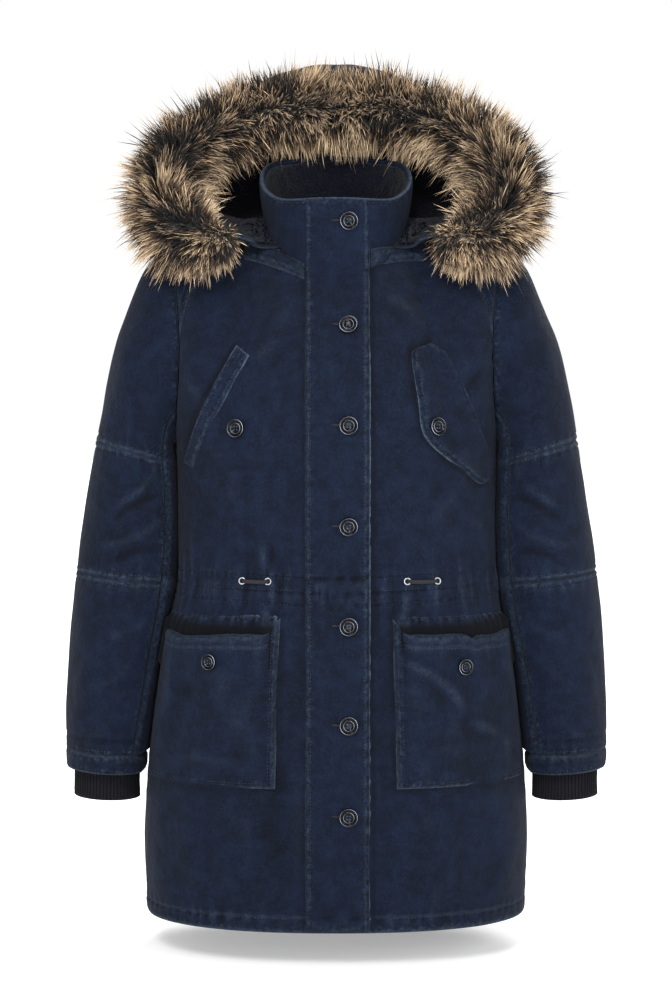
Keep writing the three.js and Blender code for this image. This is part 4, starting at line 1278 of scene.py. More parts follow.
def armhole_seam(share, height, seed):
    """Groove and puckers of a body panel along its armhole."""
    hole = (1 - np.abs(share)) * SIDE_WIDTH
    seam = groove(hole - 9, 0.6, 1.5) + puckers(height * SHOULDER_RISE, hole, 0.9, 12, 17, seed)
    return step(1.0, 1.08, height) * seam


def yoke_rise(share):
    """Rise of the yoke seam at a share of the front."""
    t = np.clip((share - YOKE_START) / (1 - YOKE_START), 0, 1)
    return smooth(YOKE_SEAM["share"], YOKE_SEAM["rise"], t)


def lowered(share, height):
    """Height parameter moved down by the sag of the waist casing."""
    return height - sag(share, mix(HEM_Z, ARMPIT_Z, np.minimum(height, 1))) / BODY_RISE


def near(*places, gap=1.25):
    """Values at each place and either side of it, for a row of stitching to be drawn in the cloth."""
    return np.concatenate([np.asarray(place) + gap * np.array([-2, -1, 0, 1, 2]) for place in places])


def beside(p, xs, zs, reach):
    """How near points seen from ahead lie to a line through corners: 1 on it, fading over a reach."""
    t = np.linspace(0, len(xs) - 1, 110)
    knots = np.arange(len(xs))
    dx, dz = p[..., 0, None] - np.interp(t, knots, xs), p[..., 2, None] - np.interp(t, knots, zs)
    return hump(np.hypot(dx, dz).min(-1), reach)


def front_surface(side):
    """Front panel over share and height; above the armpit the height is taken up to the yoke seam."""

    def surface(share, height):
        top = np.where(share < YOKE_START, 1, yoke_rise(share))
        high = np.where(height > 1, 1 + (height - 1) * top, lowered(share, height))
        return body(share, high, -1) * (side, 1, 1)

    return surface


class PARKA_OT_fronts(Maker):
    """Two fronts, sewn to yokes at the shoulders"""

    bl_idname = "parka.fronts"
    bl_label = "Fronts and Yokes"

    def make(self, context):
        c = cell() * 1.08
        heights = body_heights(c, SHOULDER_RISE, 2 - near(8) / YOKE_SEAM_DROP)
        for word, side, start in (("right", -1, FRONT_EDGE), ("left", 1, -FRONT_EDGE)):
            name = f"front_{word}"
            ends = np.array([1, 2.5, 4.5, 7]) / FRONT_WIDTH
            shares = merged(np.linspace(start, 1, int(FRONT_WIDTH / c)), 1 - ends)

            def relief(p, share, height):
                total = body_relief(p, share * side, height, -1, SEEDS[name])
                seam = (2 - height) * YOKE_SEAM_DROP
                on = step(YOKE_START - 0.02, YOKE_START + 0.06, share)
                drawn = groove(seam - 8, 0.7, 1.4) + puckers(share * FRONT_WIDTH, seam, 0.7, 9, 15, 61)
                return total + on * drawn + armhole_seam(share, height, 62)

            def shade(p, share, height):
                x = p[..., 0]
                levels = np.linspace(POCKET_TOP, POCKET_BOTTOM - 2, 8)
                inner = side * section(np.full(8, POCKET_INNER), levels, -1)[:, 0]
                shares = np.linspace(POCKET_INNER, POCKET_OUTER, 12)
                foot = side * section(shares, np.full(12, POCKET_BOTTOM), -1)[:, 0]
                rows, column = (CHEST_FLAP, "edge") if side > 0 else (WELT, "outer")
                return np.maximum.reduce([
                    0.75 * hump(x - PLACKET_RIGHT - 2, 3.2),
                    0.45 * hump(x - PLACKET_LEFT + 2, 2.6),
                    0.7 * beside(p, rows[f"{column}_x"] - 2, rows[f"{column}_z"] - 1, 4.2),
                    0.6 * beside(p, inner - side * 2.5, levels, 3.4),
                    0.5 * beside(p, foot, np.full(12, POCKET_BOTTOM - 3), 3.4),
                ])

            build(name, front_surface(side), shares, heights, side, relief, nodes=[name], wear=hem_wear,
                  worn_edge=0.3, shade=shade)
            across = np.linspace(0, 1, int(YOKE_WIDTH / c) + 6)
            up = np.linspace(0, 1, int(YOKE_LENGTH / c) + 8)

            def yoke(t, v):
                share = mix(mix(YOKE_START, 1, t), mix(NECK_SIDE, 1, t), v)
                return body(share, 1 + mix(yoke_rise(mix(YOKE_START, 1, t)), 1, v), -1) * (side, 1, 1)

            def yoke_relief(p, t, v):
                seam = v * YOKE_LENGTH
                drawn = 0.5 * unevenness(p, 70) + groove(seam - 6, 0.8, 1.4)
                return drawn + puckers(t * YOKE_WIDTH, seam, 0.8, 9, 14, 71)

            build(
                f"yoke_{word}", yoke, across, up, side, yoke_relief, nodes=[f"yoke_{word}"], worn_edge=0.2,
                lift=0.5,
            )


class PARKA_OT_back(Maker):
    """Back, from one side seam to the other"""

    bl_idname = "parka.back"
    bl_label = "Back"

    def make(self, context):
        c = cell() * 1.5
        heights = body_heights(c, BACK_RISE)
        half = np.linspace(0, 1, int(BACK_WIDTH / c))
        shares = np.concatenate([-half[:0:-1], half])

        def relief(p, share, height):
            return body_relief(p, share, height, 1, 80) + armhole_seam(share, height, 82)

        def surface(share, height):
            return body(share, np.where(height > 1, height, lowered(share, height)), 1)

        build("back", surface, shares, heights, -1, relief, nodes=["back"], wear=hem_wear, worn_edge=0.3)


# Folds of a sleeve: angle round it times 1.2 and z at both ends, half width and lift.
SLEEVE_FOLDS = (
    (100, -60, 150, -180, 9, 2.6),
    (80, -90, 128, -200, 12, -2.2),
    (60, -120, 100, -230, 13, 2.4),
    (120, -215, 150, -290, 8, 2.8),
    (150, -250, 96, -300, 8, 2.6),
    (150, -290, 84, -322, 7, -2.4),
    (156, -318, 70, -350, 9, 3.0),
    (150, -356, 88, -372, 8, -2.6),
    (158, -392, 76, -398, 9, 3.0),
    (40, -300, 90, -330, 11, 1.8),
    (30, -380, 96, -420, 12, 2.2),
    (150, -440, 100, -462, 10, 2.4),
    (140, -490, 70, -530, 12, 2.4),
    (60, -470, 40, -560, 14, -2.2),
    (120, -560, 80, -590, 10, 2.0),
    (250, -120, 300, -240, 14, 2.8),
    (262, -250, 330, -290, 10, 2.6),
    (250, -300, 318, -330, 9, -2.6),
    (258, -340, 340, -372, 10, 3.0),
    (262, -410, 330, -430, 11, 2.6),
    (300, -480, 340, -560, 14, 2.4),
)


def sleeve_relief(side):
    """Creases of a sleeve, with grooves and puckers at its elbow seams and its lengthwise seams."""

    def relief(p, angle, ring):
        around = np.mod(angle, 360)
        total = 0.8 * unevenness(p, 90 + side) + 0.62 * folds(around * 1.2, p[..., 2], SLEEVE_FOLDS)
        for seam in (ELBOW_TOP, ELBOW_BOTTOM):
            d = (ring - seam) * RING_RUN
            total = total + puckers(
                around * 1.15, d, 1.3, 13, 15, 91 + seam
            ) + groove(np.abs(d) - 7, 0.8, 1.4)
        d = (ring - BAND_TOP) * BAND_RUN
        total = total + puckers(around * 1.0, d, 0.8, 10, 14, 97) + groove(d + 9, 0.6, 1.3)
        for seam in (UNDER_FROM, UNDER_TO):
            across = (around - seam) * 1.15
            total = total + 0.9 * puckers(
                p[..., 2], across, 0.8, 9, 18, 98
            ) + groove(np.abs(across) - 5, 0.35, 1.2)
        cap = np.clip(ring, 0, 1) * 60
        total = total + puckers(around * 1.3, cap, 1.4, 16, 19, 99)
        near_body = hump((around - 180) / 50, 1.0) * step(-150, -230, p[..., 2])
        return total * (1 - 0.75 * near_body) + 6.5 * near_body

    return relief


class PARKA_OT_sleeves(Maker):
    """Sleeves: an upper piece, an elbow panel, a lower piece, an under sleeve and a hem band each"""

    bl_idname = "parka.sleeves"
    bl_label = "Sleeves"

    def make(self, context):
        c = cell()
        for word, side in SIDES:
            surface = lambda angle, ring: sleeve(ring, angle, side)
            over = np.linspace(UNDER_TO - 360, UNDER_FROM, int(330 / c))
            over = merged(over, near(UNDER_TO - 360 + UNDER_STITCH, UNDER_FROM - UNDER_STITCH, gap=1))
            under = np.linspace(UNDER_FROM, UNDER_TO, int(115 / c))
            relief = sleeve_relief(side)

            def wear(p, angle, ring):
                far = np.minimum(np.abs(ring - ELBOW_TOP), np.abs(ring - ELBOW_BOTTOM)) * RING_RUN
                return 0.16 * hump(far - 3.5, 3)

            for piece, low, high, angles, length in (
                ("sleeve_upper", 0, ELBOW_TOP, over, 250),
                ("elbow_panel", ELBOW_TOP, ELBOW_BOTTOM, over, 165),
                ("sleeve_lower", ELBOW_BOTTOM, BAND_TOP, over, 225),
                ("under_sleeve", 0, BAND_TOP, under, 400),
            ):
                ends = np.array([1, 2.5, 4, 5.6, 7, 8.4]) / length * (high - low)
                rings = merged(np.linspace(low, high, int(length / c / 1.15)), low + ends, high - ends)
                name = f"{piece}_{word}"
                build(name, surface, angles, rings, side, relief, nodes=[name], wear=wear, worn_edge=0.16)
            around = np.linspace(0, 360, int(430 / c), endpoint=False)
            rings = merged(np.linspace(BAND_TOP, SLEEVE_HEM, 9), SLEEVE_HEM - np.array([0.03, 0.1]))

            def band(p, angle, ring):
                low = (SLEEVE_HEM - ring) * BAND_RUN
                return relief(p, angle, ring) * 0.6 + groove(low - 6, 0.6, 1.3) + puckers(
                    angle, low, 0.7, 10, 16, 120
                )

            name = f"sleeve_hem_{word}"
            build(name, surface, around, rings, side, band, nodes=[name], tube=True, worn_edge=0.35, lift=0.4)


class PARKA_OT_cuffs(Maker):
    """Rib-knit cuffs"""

    bl_idname = "parka.cuffs"
    bl_label = "Rib Cuffs"

    def make(self, context):
        around = np.linspace(0, 360, CUFF_RIBS * 5, endpoint=False)
        foot, top = CUFF["z"][[0, -1]]
        heights = np.linspace(foot, top, 22)
        for word, side in SIDES:

            def relief(p, angle, height):
                sway = 30 * noise(stack(angle / 9, height / 20, 0 * angle), 1.0, 130)
                ribs = np.cos(np.radians(angle * CUFF_RIBS + sway))
                return 1.15 * ribs + 0.9 * noise(p, 26, 131 + side) - 1.0 * hump(height - foot, 4)

            name = f"rib_cuff_{word}"
            surface = lambda angle, height: cuff(height, angle, side)
            build(name, surface, around, heights, side, relief, nodes=[name], slot="rib_knit",
                  material=finish("rib_knit"), tube=True, worn_edge=0.0, tuck=0.8, held="stretched")


class PARKA_OT_collar(Maker):
    """Stand collar with its pile lining"""

    bl_idname = "parka.collar"
    bl_label = "Collar"

    def make(self, context):
        c = cell()
        edge = 90 * FRONT_EDGE / NECK_SIDE
        angles = np.linspace(-edge, 360 - edge * 1.15, int(600 / c))
        rows = merged(np.linspace(0, 1, int(92 / c) + 4), [0.015, 0.035, 0.965, 0.985])

        def surface(angle, share):
            return collar(np.where(angle > 180, angle - 360, angle), share)

        def relief(p, angle, share):
            down = (1 - share) * COLLAR_HEIGHT
            total = 0.55 * unevenness(p, 140) + groove(down - 6, 0.8, 1.4) + puckers(
                angle * 1.6, down, 0.9, 9, 16, 141
            )
            return total + puckers(angle * 1.6, share * COLLAR_HEIGHT, 0.9, 12, 15, 142)

        build(
            "collar", surface, angles, rows, 1, relief, thickness=COLLAR_CLOTH, nodes=["collar"],
            worn_edge=0.6,
        )

        def lined(angle, share):
            p = surface(angle, share)
            return p + unit(-p * (1, 1, 0)) * (COLLAR_CLOTH + 3.6)

        angles = np.linspace(38, 322, int(430 / c))
        tufts = lambda p, angle, share: 1.3 * noise(p, 5.5, 150) + 1.0 * noise(p, 12, 151)
        build("collar_lining", lined, angles, np.linspace(0.12, 0.93, int(70 / c)), -1, tufts, thickness=1.6,
              nodes=["collar_lining"], slot="pile", material=finish("pile"), worn_edge=0.0)


class PARKA_OT_placket(Maker):
    """Button placket down the middle of the front, with its buttonholes"""

    bl_idname = "parka.placket"
    bl_label = "Placket"

    def make(self, context):
        c = cell()
        width, length = PLACKET_RIGHT - PLACKET_LEFT, PLACKET_TOP - 1 - HEM_Z
        xs = merged(
            np.linspace(PLACKET_LEFT, PLACKET_RIGHT, int(width / c) + 6), PLACKET_LEFT + np.array([1, 2.5]),
            near(*PLACKET_STITCH), PLACKET_RIGHT - np.array([0.7, 1.5, 2.6, 4]),
        )
        zs = merged(
            np.linspace(HEM_Z + 1, PLACKET_TOP - 1, int(length / c / 1.25)), HEM_Z + np.array([2, 4, 7]),
            PLACKET_TOP - np.array([2, 4, 8]),
        )

        def relief(p, x, z):
            under = front_relief(p)
            left, right = x - PLACKET_LEFT, PLACKET_RIGHT - x
            total = groove(left - 7, 0.7, 1.4) + puckers(z, left, 0.9, 10, 17, 160)
            total = total + groove(right - 8, 0.8, 1.4) + puckers(z, right, 1.0, 9, 21, 161)
            total = total + 0.5 * unevenness(p, 162) + 2.0 * noise(
                stack(0 * x, 0 * x, z), 60, 163
            ) * step(10, 60, left)
            pull = sum(hump(z - b, 9) * hump(x - PLACKET_BUTTON_X, 24) for b in PLACKET_BUTTON_Z)
            return under + total - 0.9 * pull + 3.2

        def wear(p, x, z):
            right = PLACKET_RIGHT - x
            seams = np.maximum(0.12 * hump(right - 6.5, 1.5), 0.1 * hump(x - PLACKET_LEFT - 4, 2))
            return np.maximum(seams, np.exp(-((right / 1.25) ** 2)))

        build(
            "placket", on_front, xs, zs, 1, relief, thickness=2.6, nodes=["placket"], wear=wear,
            worn_edge=0.12,
        )
        holes = []
        for z in PLACKET_BUTTON_Z:
            path = np.linspace(-5, PLACKET_BUTTON_X - 9.5, 14)
            place, normal = on_grid("placket", path, np.full(14, z + 0.8))
            points, faces = capped(
                tube(place + normal * 0.1, 1.25 * np.sin(np.linspace(0.5, 2.6, 14)), 8, 0.6, (0, -1, 0))
            )
            holes.append((points, faces))
        points, faces = joined(holes)
        make_object("buttonholes", points, faces, finish("braid"), uv={"Cloth": points[:, ::2] * MM})


def joined(parts):
    """Points and faces of several meshes as one."""
    offsets = np.cumsum([0] + [len(p) for p, _ in parts[:-1]])
    return np.concatenate([p for p, _ in parts]), np.concatenate([f + o for (_, f), o in zip(parts, offsets)])


class PARKA_OT_chest_pockets(Maker):
    """Slanted welt on the wearer's right and a buttoned flap on the left"""

    bl_idname = "parka.chest_pockets"
    bl_label = "Chest Pockets"

    def make(self, context):
        for name, rows, edges, count in (
            ("chest_welt_right", WELT, ("outer", "inner"), 12),
            ("chest_flap_left", CHEST_FLAP, ("hinge", "edge"), 36),
        ):
            knots = np.arange(len(rows[f"{edges[0]}_x"]), dtype=float)

            def surface(t, k):
                return on_front(
                    *(mix(*(smooth(knots, rows[f"{edge}_{axis}"], k) for edge in edges), t) for axis in "xz")
                )

            welt = name == "chest_welt_right"

            def relief(p, t, k):
                rim = np.minimum(t, 1 - t) * (20 if welt else 75)
                curl = 0 if welt else 7.0 * t**2 * hump(k - 4.4, 2.4)
                own = 0.6 * noise(p, 16, 170) + groove(rim - 6, 0.6, 1.3) + puckers(
                    k * 22, rim, 0.7, 8, 14, 171
                )
                return front_relief(p) + own + curl + 3.2

            across = merged(np.linspace(0, 1, count), [0.012, 0.03, 0.05, 0.95, 0.97, 0.988])
            up = merged(np.linspace(0, knots[-1], 60), [0.04, 0.12, knots[-1] - 0.12, knots[-1] - 0.04])
            turn = facing_turn(surface, across, up)
            build(name, surface, across, up, turn, relief, thickness=2.8, nodes=[name], worn_edge=0.85)


def facing_turn(surface, u, v):
    """1 where the surface's normal points ahead in its middle, and -1 where it points back."""
    a, b = np.meshgrid(u[len(u) // 2 : len(u) // 2 + 2], v[len(v) // 2 : len(v) // 2 + 2])
    p = surface(a, b)
    return 1 if np.cross(p[0, 1] - p[0, 0], p[1, 0] - p[0, 0])[1] < 0 else -1


def pocket_share(share):
    """Way across a lower pocket, from its inner edge (0) to its outer edge (1)."""
    return (share - POCKET_INNER) / (POCKET_OUTER - POCKET_INNER)


def pocket_rise(z):
    """Way up a lower pocket, from its bottom (0) to its top edge (1)."""
    return (z - POCKET_BOTTOM) / POCKET_HEIGHT


class PARKA_OT_patch_pockets(Maker):
    """Big lower pockets, each with its flap tucked down behind its gaping top edge"""

    bl_idname = "parka.patch_pockets"
    bl_label = "Patch Pockets"

    def make(self, context):
        c = cell()
        for word, side in SIDES:

            def surface(share, z):
                s, t = pocket_share(share), np.clip(pocket_rise(z), 0, 1)
                mouth = 15 * hump(s, 0.045) + 15 * hump(
                    s - 1, 0.045
                ) - 5.5 * np.sin(np.pi * s) + MOUTH[word](s)
                return body(share, front_height(z + mouth * t**3), -1) * (side, 1, 1)

            plain = lambda share, z: body(share, front_height(z), -1) * (side, 1, 1)
            ends = np.array([0.004, 0.01])
            shares = merged(
                np.linspace(POCKET_INNER, POCKET_OUTER, int(POCKET_WIDTH / c)), POCKET_INNER + ends,
                POCKET_OUTER - ends,
                near(POCKET_INNER + POCKET_INSET, POCKET_OUTER - POCKET_INSET, gap=0.0045),
            )
            zs = merged(
                np.linspace(POCKET_BOTTOM, POCKET_TOP, int(POCKET_HEIGHT / c)),
                POCKET_BOTTOM + np.array([1, 3, 6]),
                near(POCKET_BOTTOM + 6, *(POCKET_TOP - down for down in POCKET_HEM), gap=1),
                POCKET_TOP - np.array([1, 2.5, 5]),
            )

            def relief(p, share, z):
                s, t = pocket_share(share), pocket_rise(z)
                puff = np.minimum(1, 5 * s * (1 - s)) ** 0.8 * np.minimum(1, t * 4) * mix(0.4, 1, t**1.6)
                side_in = np.minimum(s, 1 - s) * POCKET_WIDTH
                down, up = (1 - t) * POCKET_HEIGHT, t * POCKET_HEIGHT
                total = front_relief(p) * 0.5 + puff * POCKET_PUFF + 2.2
                total = total + groove(
                    down - POCKET_HEM[0], 0.9, 1.4
                ) + groove(down - POCKET_HEM[1], 0.7, 1.3)
                total = total + puckers(share * SIDE_WIDTH, down - 18, 0.8, 8, 16, 181)
                total = total + groove(side_in - 6, 0.7, 1.3) + puckers(z, side_in, 0.8, 8, 18, 182)
                total = total + groove(up - 6, 0.7, 1.3) + puckers(share * SIDE_WIDTH, up, 0.8, 8, 17, 183)
                own = folds(s * POCKET_WIDTH, z - POCKET_BOTTOM, POCKET_FOLDS[word])
                return total + 1.2 * unevenness(p, 184 + side) + own

            def wear(p, share, z):
                down = (1 - pocket_rise(z)) * POCKET_HEIGHT
                return np.maximum(np.exp(-down / 1.6), 0.12 * hump(down - 18, 3))

            name = f"patch_pocket_{word}"
            build(
                name, surface, shares, zs, side, relief, thickness=2.2, nodes=[name], wear=wear,
                worn_edge=0.5,
            )
            shares = np.linspace(POCKET_INNER + 0.012, POCKET_OUTER - 0.012, int(160 / c))
            zs = merged(
                np.linspace(FLAP_BOTTOM, FLAP_TOP, int((FLAP_TOP - FLAP_BOTTOM) / c)),
                FLAP_TOP - np.array([1, 3, 6]),
            )

            def flap(p, share, z):
                s, down = pocket_share(share), FLAP_TOP - z
                gathers = 2.0 * np.sin(
                    share * 150 + 3 * noise(stack(share * 30, 0 * z, z / 60), 1.0, 190)
                ) * np.exp(-down / 16)
                ends = 5 * (hump(s - 0.05, 0.05) + hump(s - 0.95, 0.05)) * step(4, 14, down)
                total = front_relief(p) * 0.6 + 2.4 + gathers + ends + puckers(
                    share * SIDE_WIDTH, down, 0.9, 8, 12, 191
                )
                return total + 2.2 * step(0, 16, down)

            def shade(p, share, z):
                return 0.97 * step(5, 17, FLAP_TOP - z + 8 * hump(pocket_share(share) - 0.95, 0.2))

            name = f"pocket_flap_{word}"
            build(
                name, plain, shares, zs, side, flap, thickness=2.0, nodes=[name], worn_edge=0.8, shade=shade
            )


# Dips of the lower pockets' top edges, over the share of the way out.
MOUTH = {
    "right": lambda s: -2.5 * hump(s - 0.66, 0.12) + 1.5 * hump(s - 0.3, 0.1),
    "left": lambda s: -4.0 * hump(s - 0.5, 0.035) - 2.5 * hump(s - 0.72, 0.14) + 2.0 * hump(s - 0.36, 0.1),
}

# Folds of the lower pockets, from the placket's side outwards and up from the bottom.
POCKET_FOLDS = {
    "right": (
        (30, 60, 60, 150, 14, 2.4), (110, 40, 84, 130, 15, -2.2), (140, 70, 120, 150, 12, 2.2),
        (20, 20, 90, 34, 10, 1.8),
    ),
    "left": (
        (10, 150, 60, 96, 7, 3.0), (70, 78, 128, 30, 9, 3.0), (100, 60, 150, 26, 10, -2.2),
        (120, 150, 140, 90, 11, 2.0), (30, 60, 50, 20, 12, -2.0),
    ),
}


# Section of a button from the middle of its back round to the middle of its face, and of one of its four
# holes: radius as a share of the button's, and height.
BUTTON_PROFILE = (
    (0, -1.6), (0.5, -1.6), (0.82, -0.4), (0.97, 1.0), (1, 2.0), (0.98, 2.7), (0.95, 3.2), (0.925, 3.45),
    (0.9, 3.55), (0.83, 3.5), (0.75, 3.0), (0.71, 2.1), (0.67, 1.9), (0.62, 2.4), (0.585, 2.8), (0.56, 2.95),
    (0.535, 2.95), (0.48, 2.7), (0.42, 2.1), (0.3, 1.8), (0.12, 1.7), (0, 1.7),
)
HOLE_PROFILE = ((0, 0), (0.09, 0), (0.1, 0.25), (0.07, 0.45), (0, 0.5))
BUTTON_SIDES, BUTTON_SEAT, BUTTON_RIMS = 36, 1.4, (0.925, 0.56)


class PARKA_OT_buttons(Maker):
    """Polished buttons of the front, the chest pockets and the lower pockets"""

    bl_idname = "parka.buttons"
    bl_label = "Buttons"

    def make(self, context):
        big, small = sizes().button / MM / 2, sizes().pocket_button / MM / 2
        places = [
            (
                f"placket_button_{i + 1}", "placket", (PLACKET_BUTTON_X, z), big
            ) for i, z in enumerate(PLACKET_BUTTON_Z)
        ]
        places += [
            ("chest_button_right", None, CHEST_BUTTON["right"], big),
            ("chest_button_left", "chest_flap_left", CHEST_BUTTON["left"], big),
        ]
        places += [
            (f"pocket_button_{w}", f"patch_pocket_{w}", POCKET_BUTTON[w], small) for w in ("right", "left")
        ]
        for name, piece, (x, z), r in places:
            place, normal = outside(piece or "front_right", x, z)
            points, faces = lathe(np.array(BUTTON_PROFILE) * (r, 1), BUTTON_SIDES)
            seat = place + normal * BUTTON_SEAT
            tilt = normal + (0.03 * math.sin(x + z), 0, 0.04 * math.cos(z))
            # Painted highlights on the face's outer and inner rims, brighter on one side as if lit from
            # there.
            reach = np.hypot(points[:, 0], points[:, 1]) / r
            side_lit = 0.55 + 0.45 * np.sin(2 * np.arctan2(points[:, 1], points[:, 0]) + 0.6)
            outer, inner = (np.abs(reach - at) < 0.012 for at in BUTTON_RIMS)
            rim = side_lit * (1.0 * outer + 0.75 * inner) * (points[:, 2] > 1.5)
            make_object(
                name, stand(points, seat, tilt), faces, finish("button"), [name],
                values={"rim": rim},
            )
            holes = []
            for dx, dz in ((-1, -1), (1, -1), (1, 1), (-1, 1)):
                spot, ring = lathe(np.array(HOLE_PROFILE) * (r, 1), 10)
                holes.append((stand(spot + (dx * 0.16 * r, dz * 0.16 * r, 1.8), seat, tilt), ring))
            points, faces = joined(holes)
            make_object(f"{name}_holes", points, faces, finish("thread"))


def outside(piece, x, z):
    """Point and normal on a made piece where a look from ahead at x and z meets it: the nearest of its
    points."""
    us, vs, outer, turn = GRIDS[piece]
    far = (outer[..., 0] - x) ** 2 + (outer[..., 2] - z) ** 2
    i, j = np.unravel_index(np.argmin(far), far.shape)
    lo = np.maximum([i - 3, j - 3], 0)
    hi = np.minimum([i + 3, j + 3], np.array(far.shape) - 1)
    n = np.cross(outer[i, hi[1]] - outer[i, lo[1]], outer[hi[0], j] - outer[lo[0], j]) * turn
    n /= np.linalg.norm(n)
    p = outer[i, j].copy()
    p[1] -= ((x - p[0]) * n[0] + (z - p[2]) * n[2]) / n[1]
    p[0], p[2] = x, z
    return p, n


def eyelet_ring(turns=40, sides=12):
    """Ring of oval section round the z axis: radius 3.7 mm, section 0.75 mm out and 0.65 mm up from its
    middle."""
    ring = np.linspace(0, 2 * np.pi, turns, endpoint=False)
    a = np.linspace(0, 2 * np.pi, sides, endpoint=False)
    loop = np.stack([np.cos(ring), np.sin(ring), 0 * ring], -1)
    points = loop[:, None] * (
        3.7 + 0.75 * np.cos(a)
    )[:, None] + np.array((0, 0, 1.0)) * (0.65 * np.sin(a))[:, None]
    points = points.reshape(-1, 3)
    quads = grid_faces(turns + 1, sides, True) % (turns * sides)
    return points, outward(points, np.concatenate([quads[:, [0, 1, 2]], quads[:, [0, 2, 3]]]))


class PARKA_OT_waist_cords(Maker):
    """Eyelets at the waist, and the lengths of drawcord that show between them"""

    bl_idname = "parka.waist_cords"
    bl_label = "Waist Cords"

    def make(self, context):
        for word in ("right", "left"):
            ends = []
            for i, x in enumerate(EYELET_X[word]):
                place, normal = outside(f"front_{word}", x, EYELET_Z)
                points, faces = eyelet_ring()
                name = f"waist_eyelet_{word}_{i + 1}"
                make_object(
                    name, stand(points, place + normal * 0.7, normal), faces, finish("nickel"),
                    [name],
                )
                ends.append(place)
            xs = np.linspace(EYELET_X[word][0], EYELET_X[word][1], 40)
            base = np.array(
                [outside(f"front_{word}", x, EYELET_Z - 0.6 * math.sin((x - xs[0]) * 0.09))[0] for x in xs]
            )
            t = np.linspace(0, 1, 40)
            base[:, 1] = np.minimum(base[:, 1], mix(ends[0][1], ends[1][1], t))
            rise = 3.0 * np.minimum(step(0, 0.13, t), step(0, 0.13, 1 - t)) - 0.9
            path = base + np.stack([0 * t, -rise, 0 * t], -1)
            rings = tube(path, 2.5, 16, 0.48, (0, 1, 0))
            points, faces = capped(rings)
            run = np.concatenate([[0], np.cumsum(np.linalg.norm(np.diff(path, axis=0), axis=1))])
            uv = np.stack(
                np.broadcast_arrays(np.linspace(0, 12, 16)[None, :], run[:, None]), -1
            ).reshape(-1, 2)
            obj = make_object(
                f"waist_cord_{word}", points, faces, finish("braid"), [f"waist_cord_{word}"],
                {"Cloth": np.concatenate([uv, uv[:1], uv[-1:]]) * MM},
            )


def hood_cloth(s, t):
    """Hood's surface, raised clear of the shoulders it lies on."""
    return over_shoulders(hood(s, t), 4.0)


HOOD_FOLDS = (
    (-60, 60, -150, 120, 16, 3.5),
    (70, 50, 160, 110, 17, 3.4),
    (-30, 130, -120, 190, 18, -3.0),
    (40, 140, 130, 200, 18, -2.8),
    (-180, 60, -230, 150, 15, 3.0),
    (190, 60, 240, 160, 15, 2.8),
    (0, 40, -20, 90, 14, 2.4),
    (-90, 230, -200, 250, 14, 2.6),
    (100, 235, 210, 255, 15, 2.6),
)


# Ends of the hood that reach past the collar's foot: corners as seen from ahead, round from low and outer.
HOOD_TABS = {
    "right": ((-112, -2), (-38, -30), (-38, -8), (-112, 22)),
    "left": ((112, -4), (42, -14), (42, 8), (112, 18)),
}


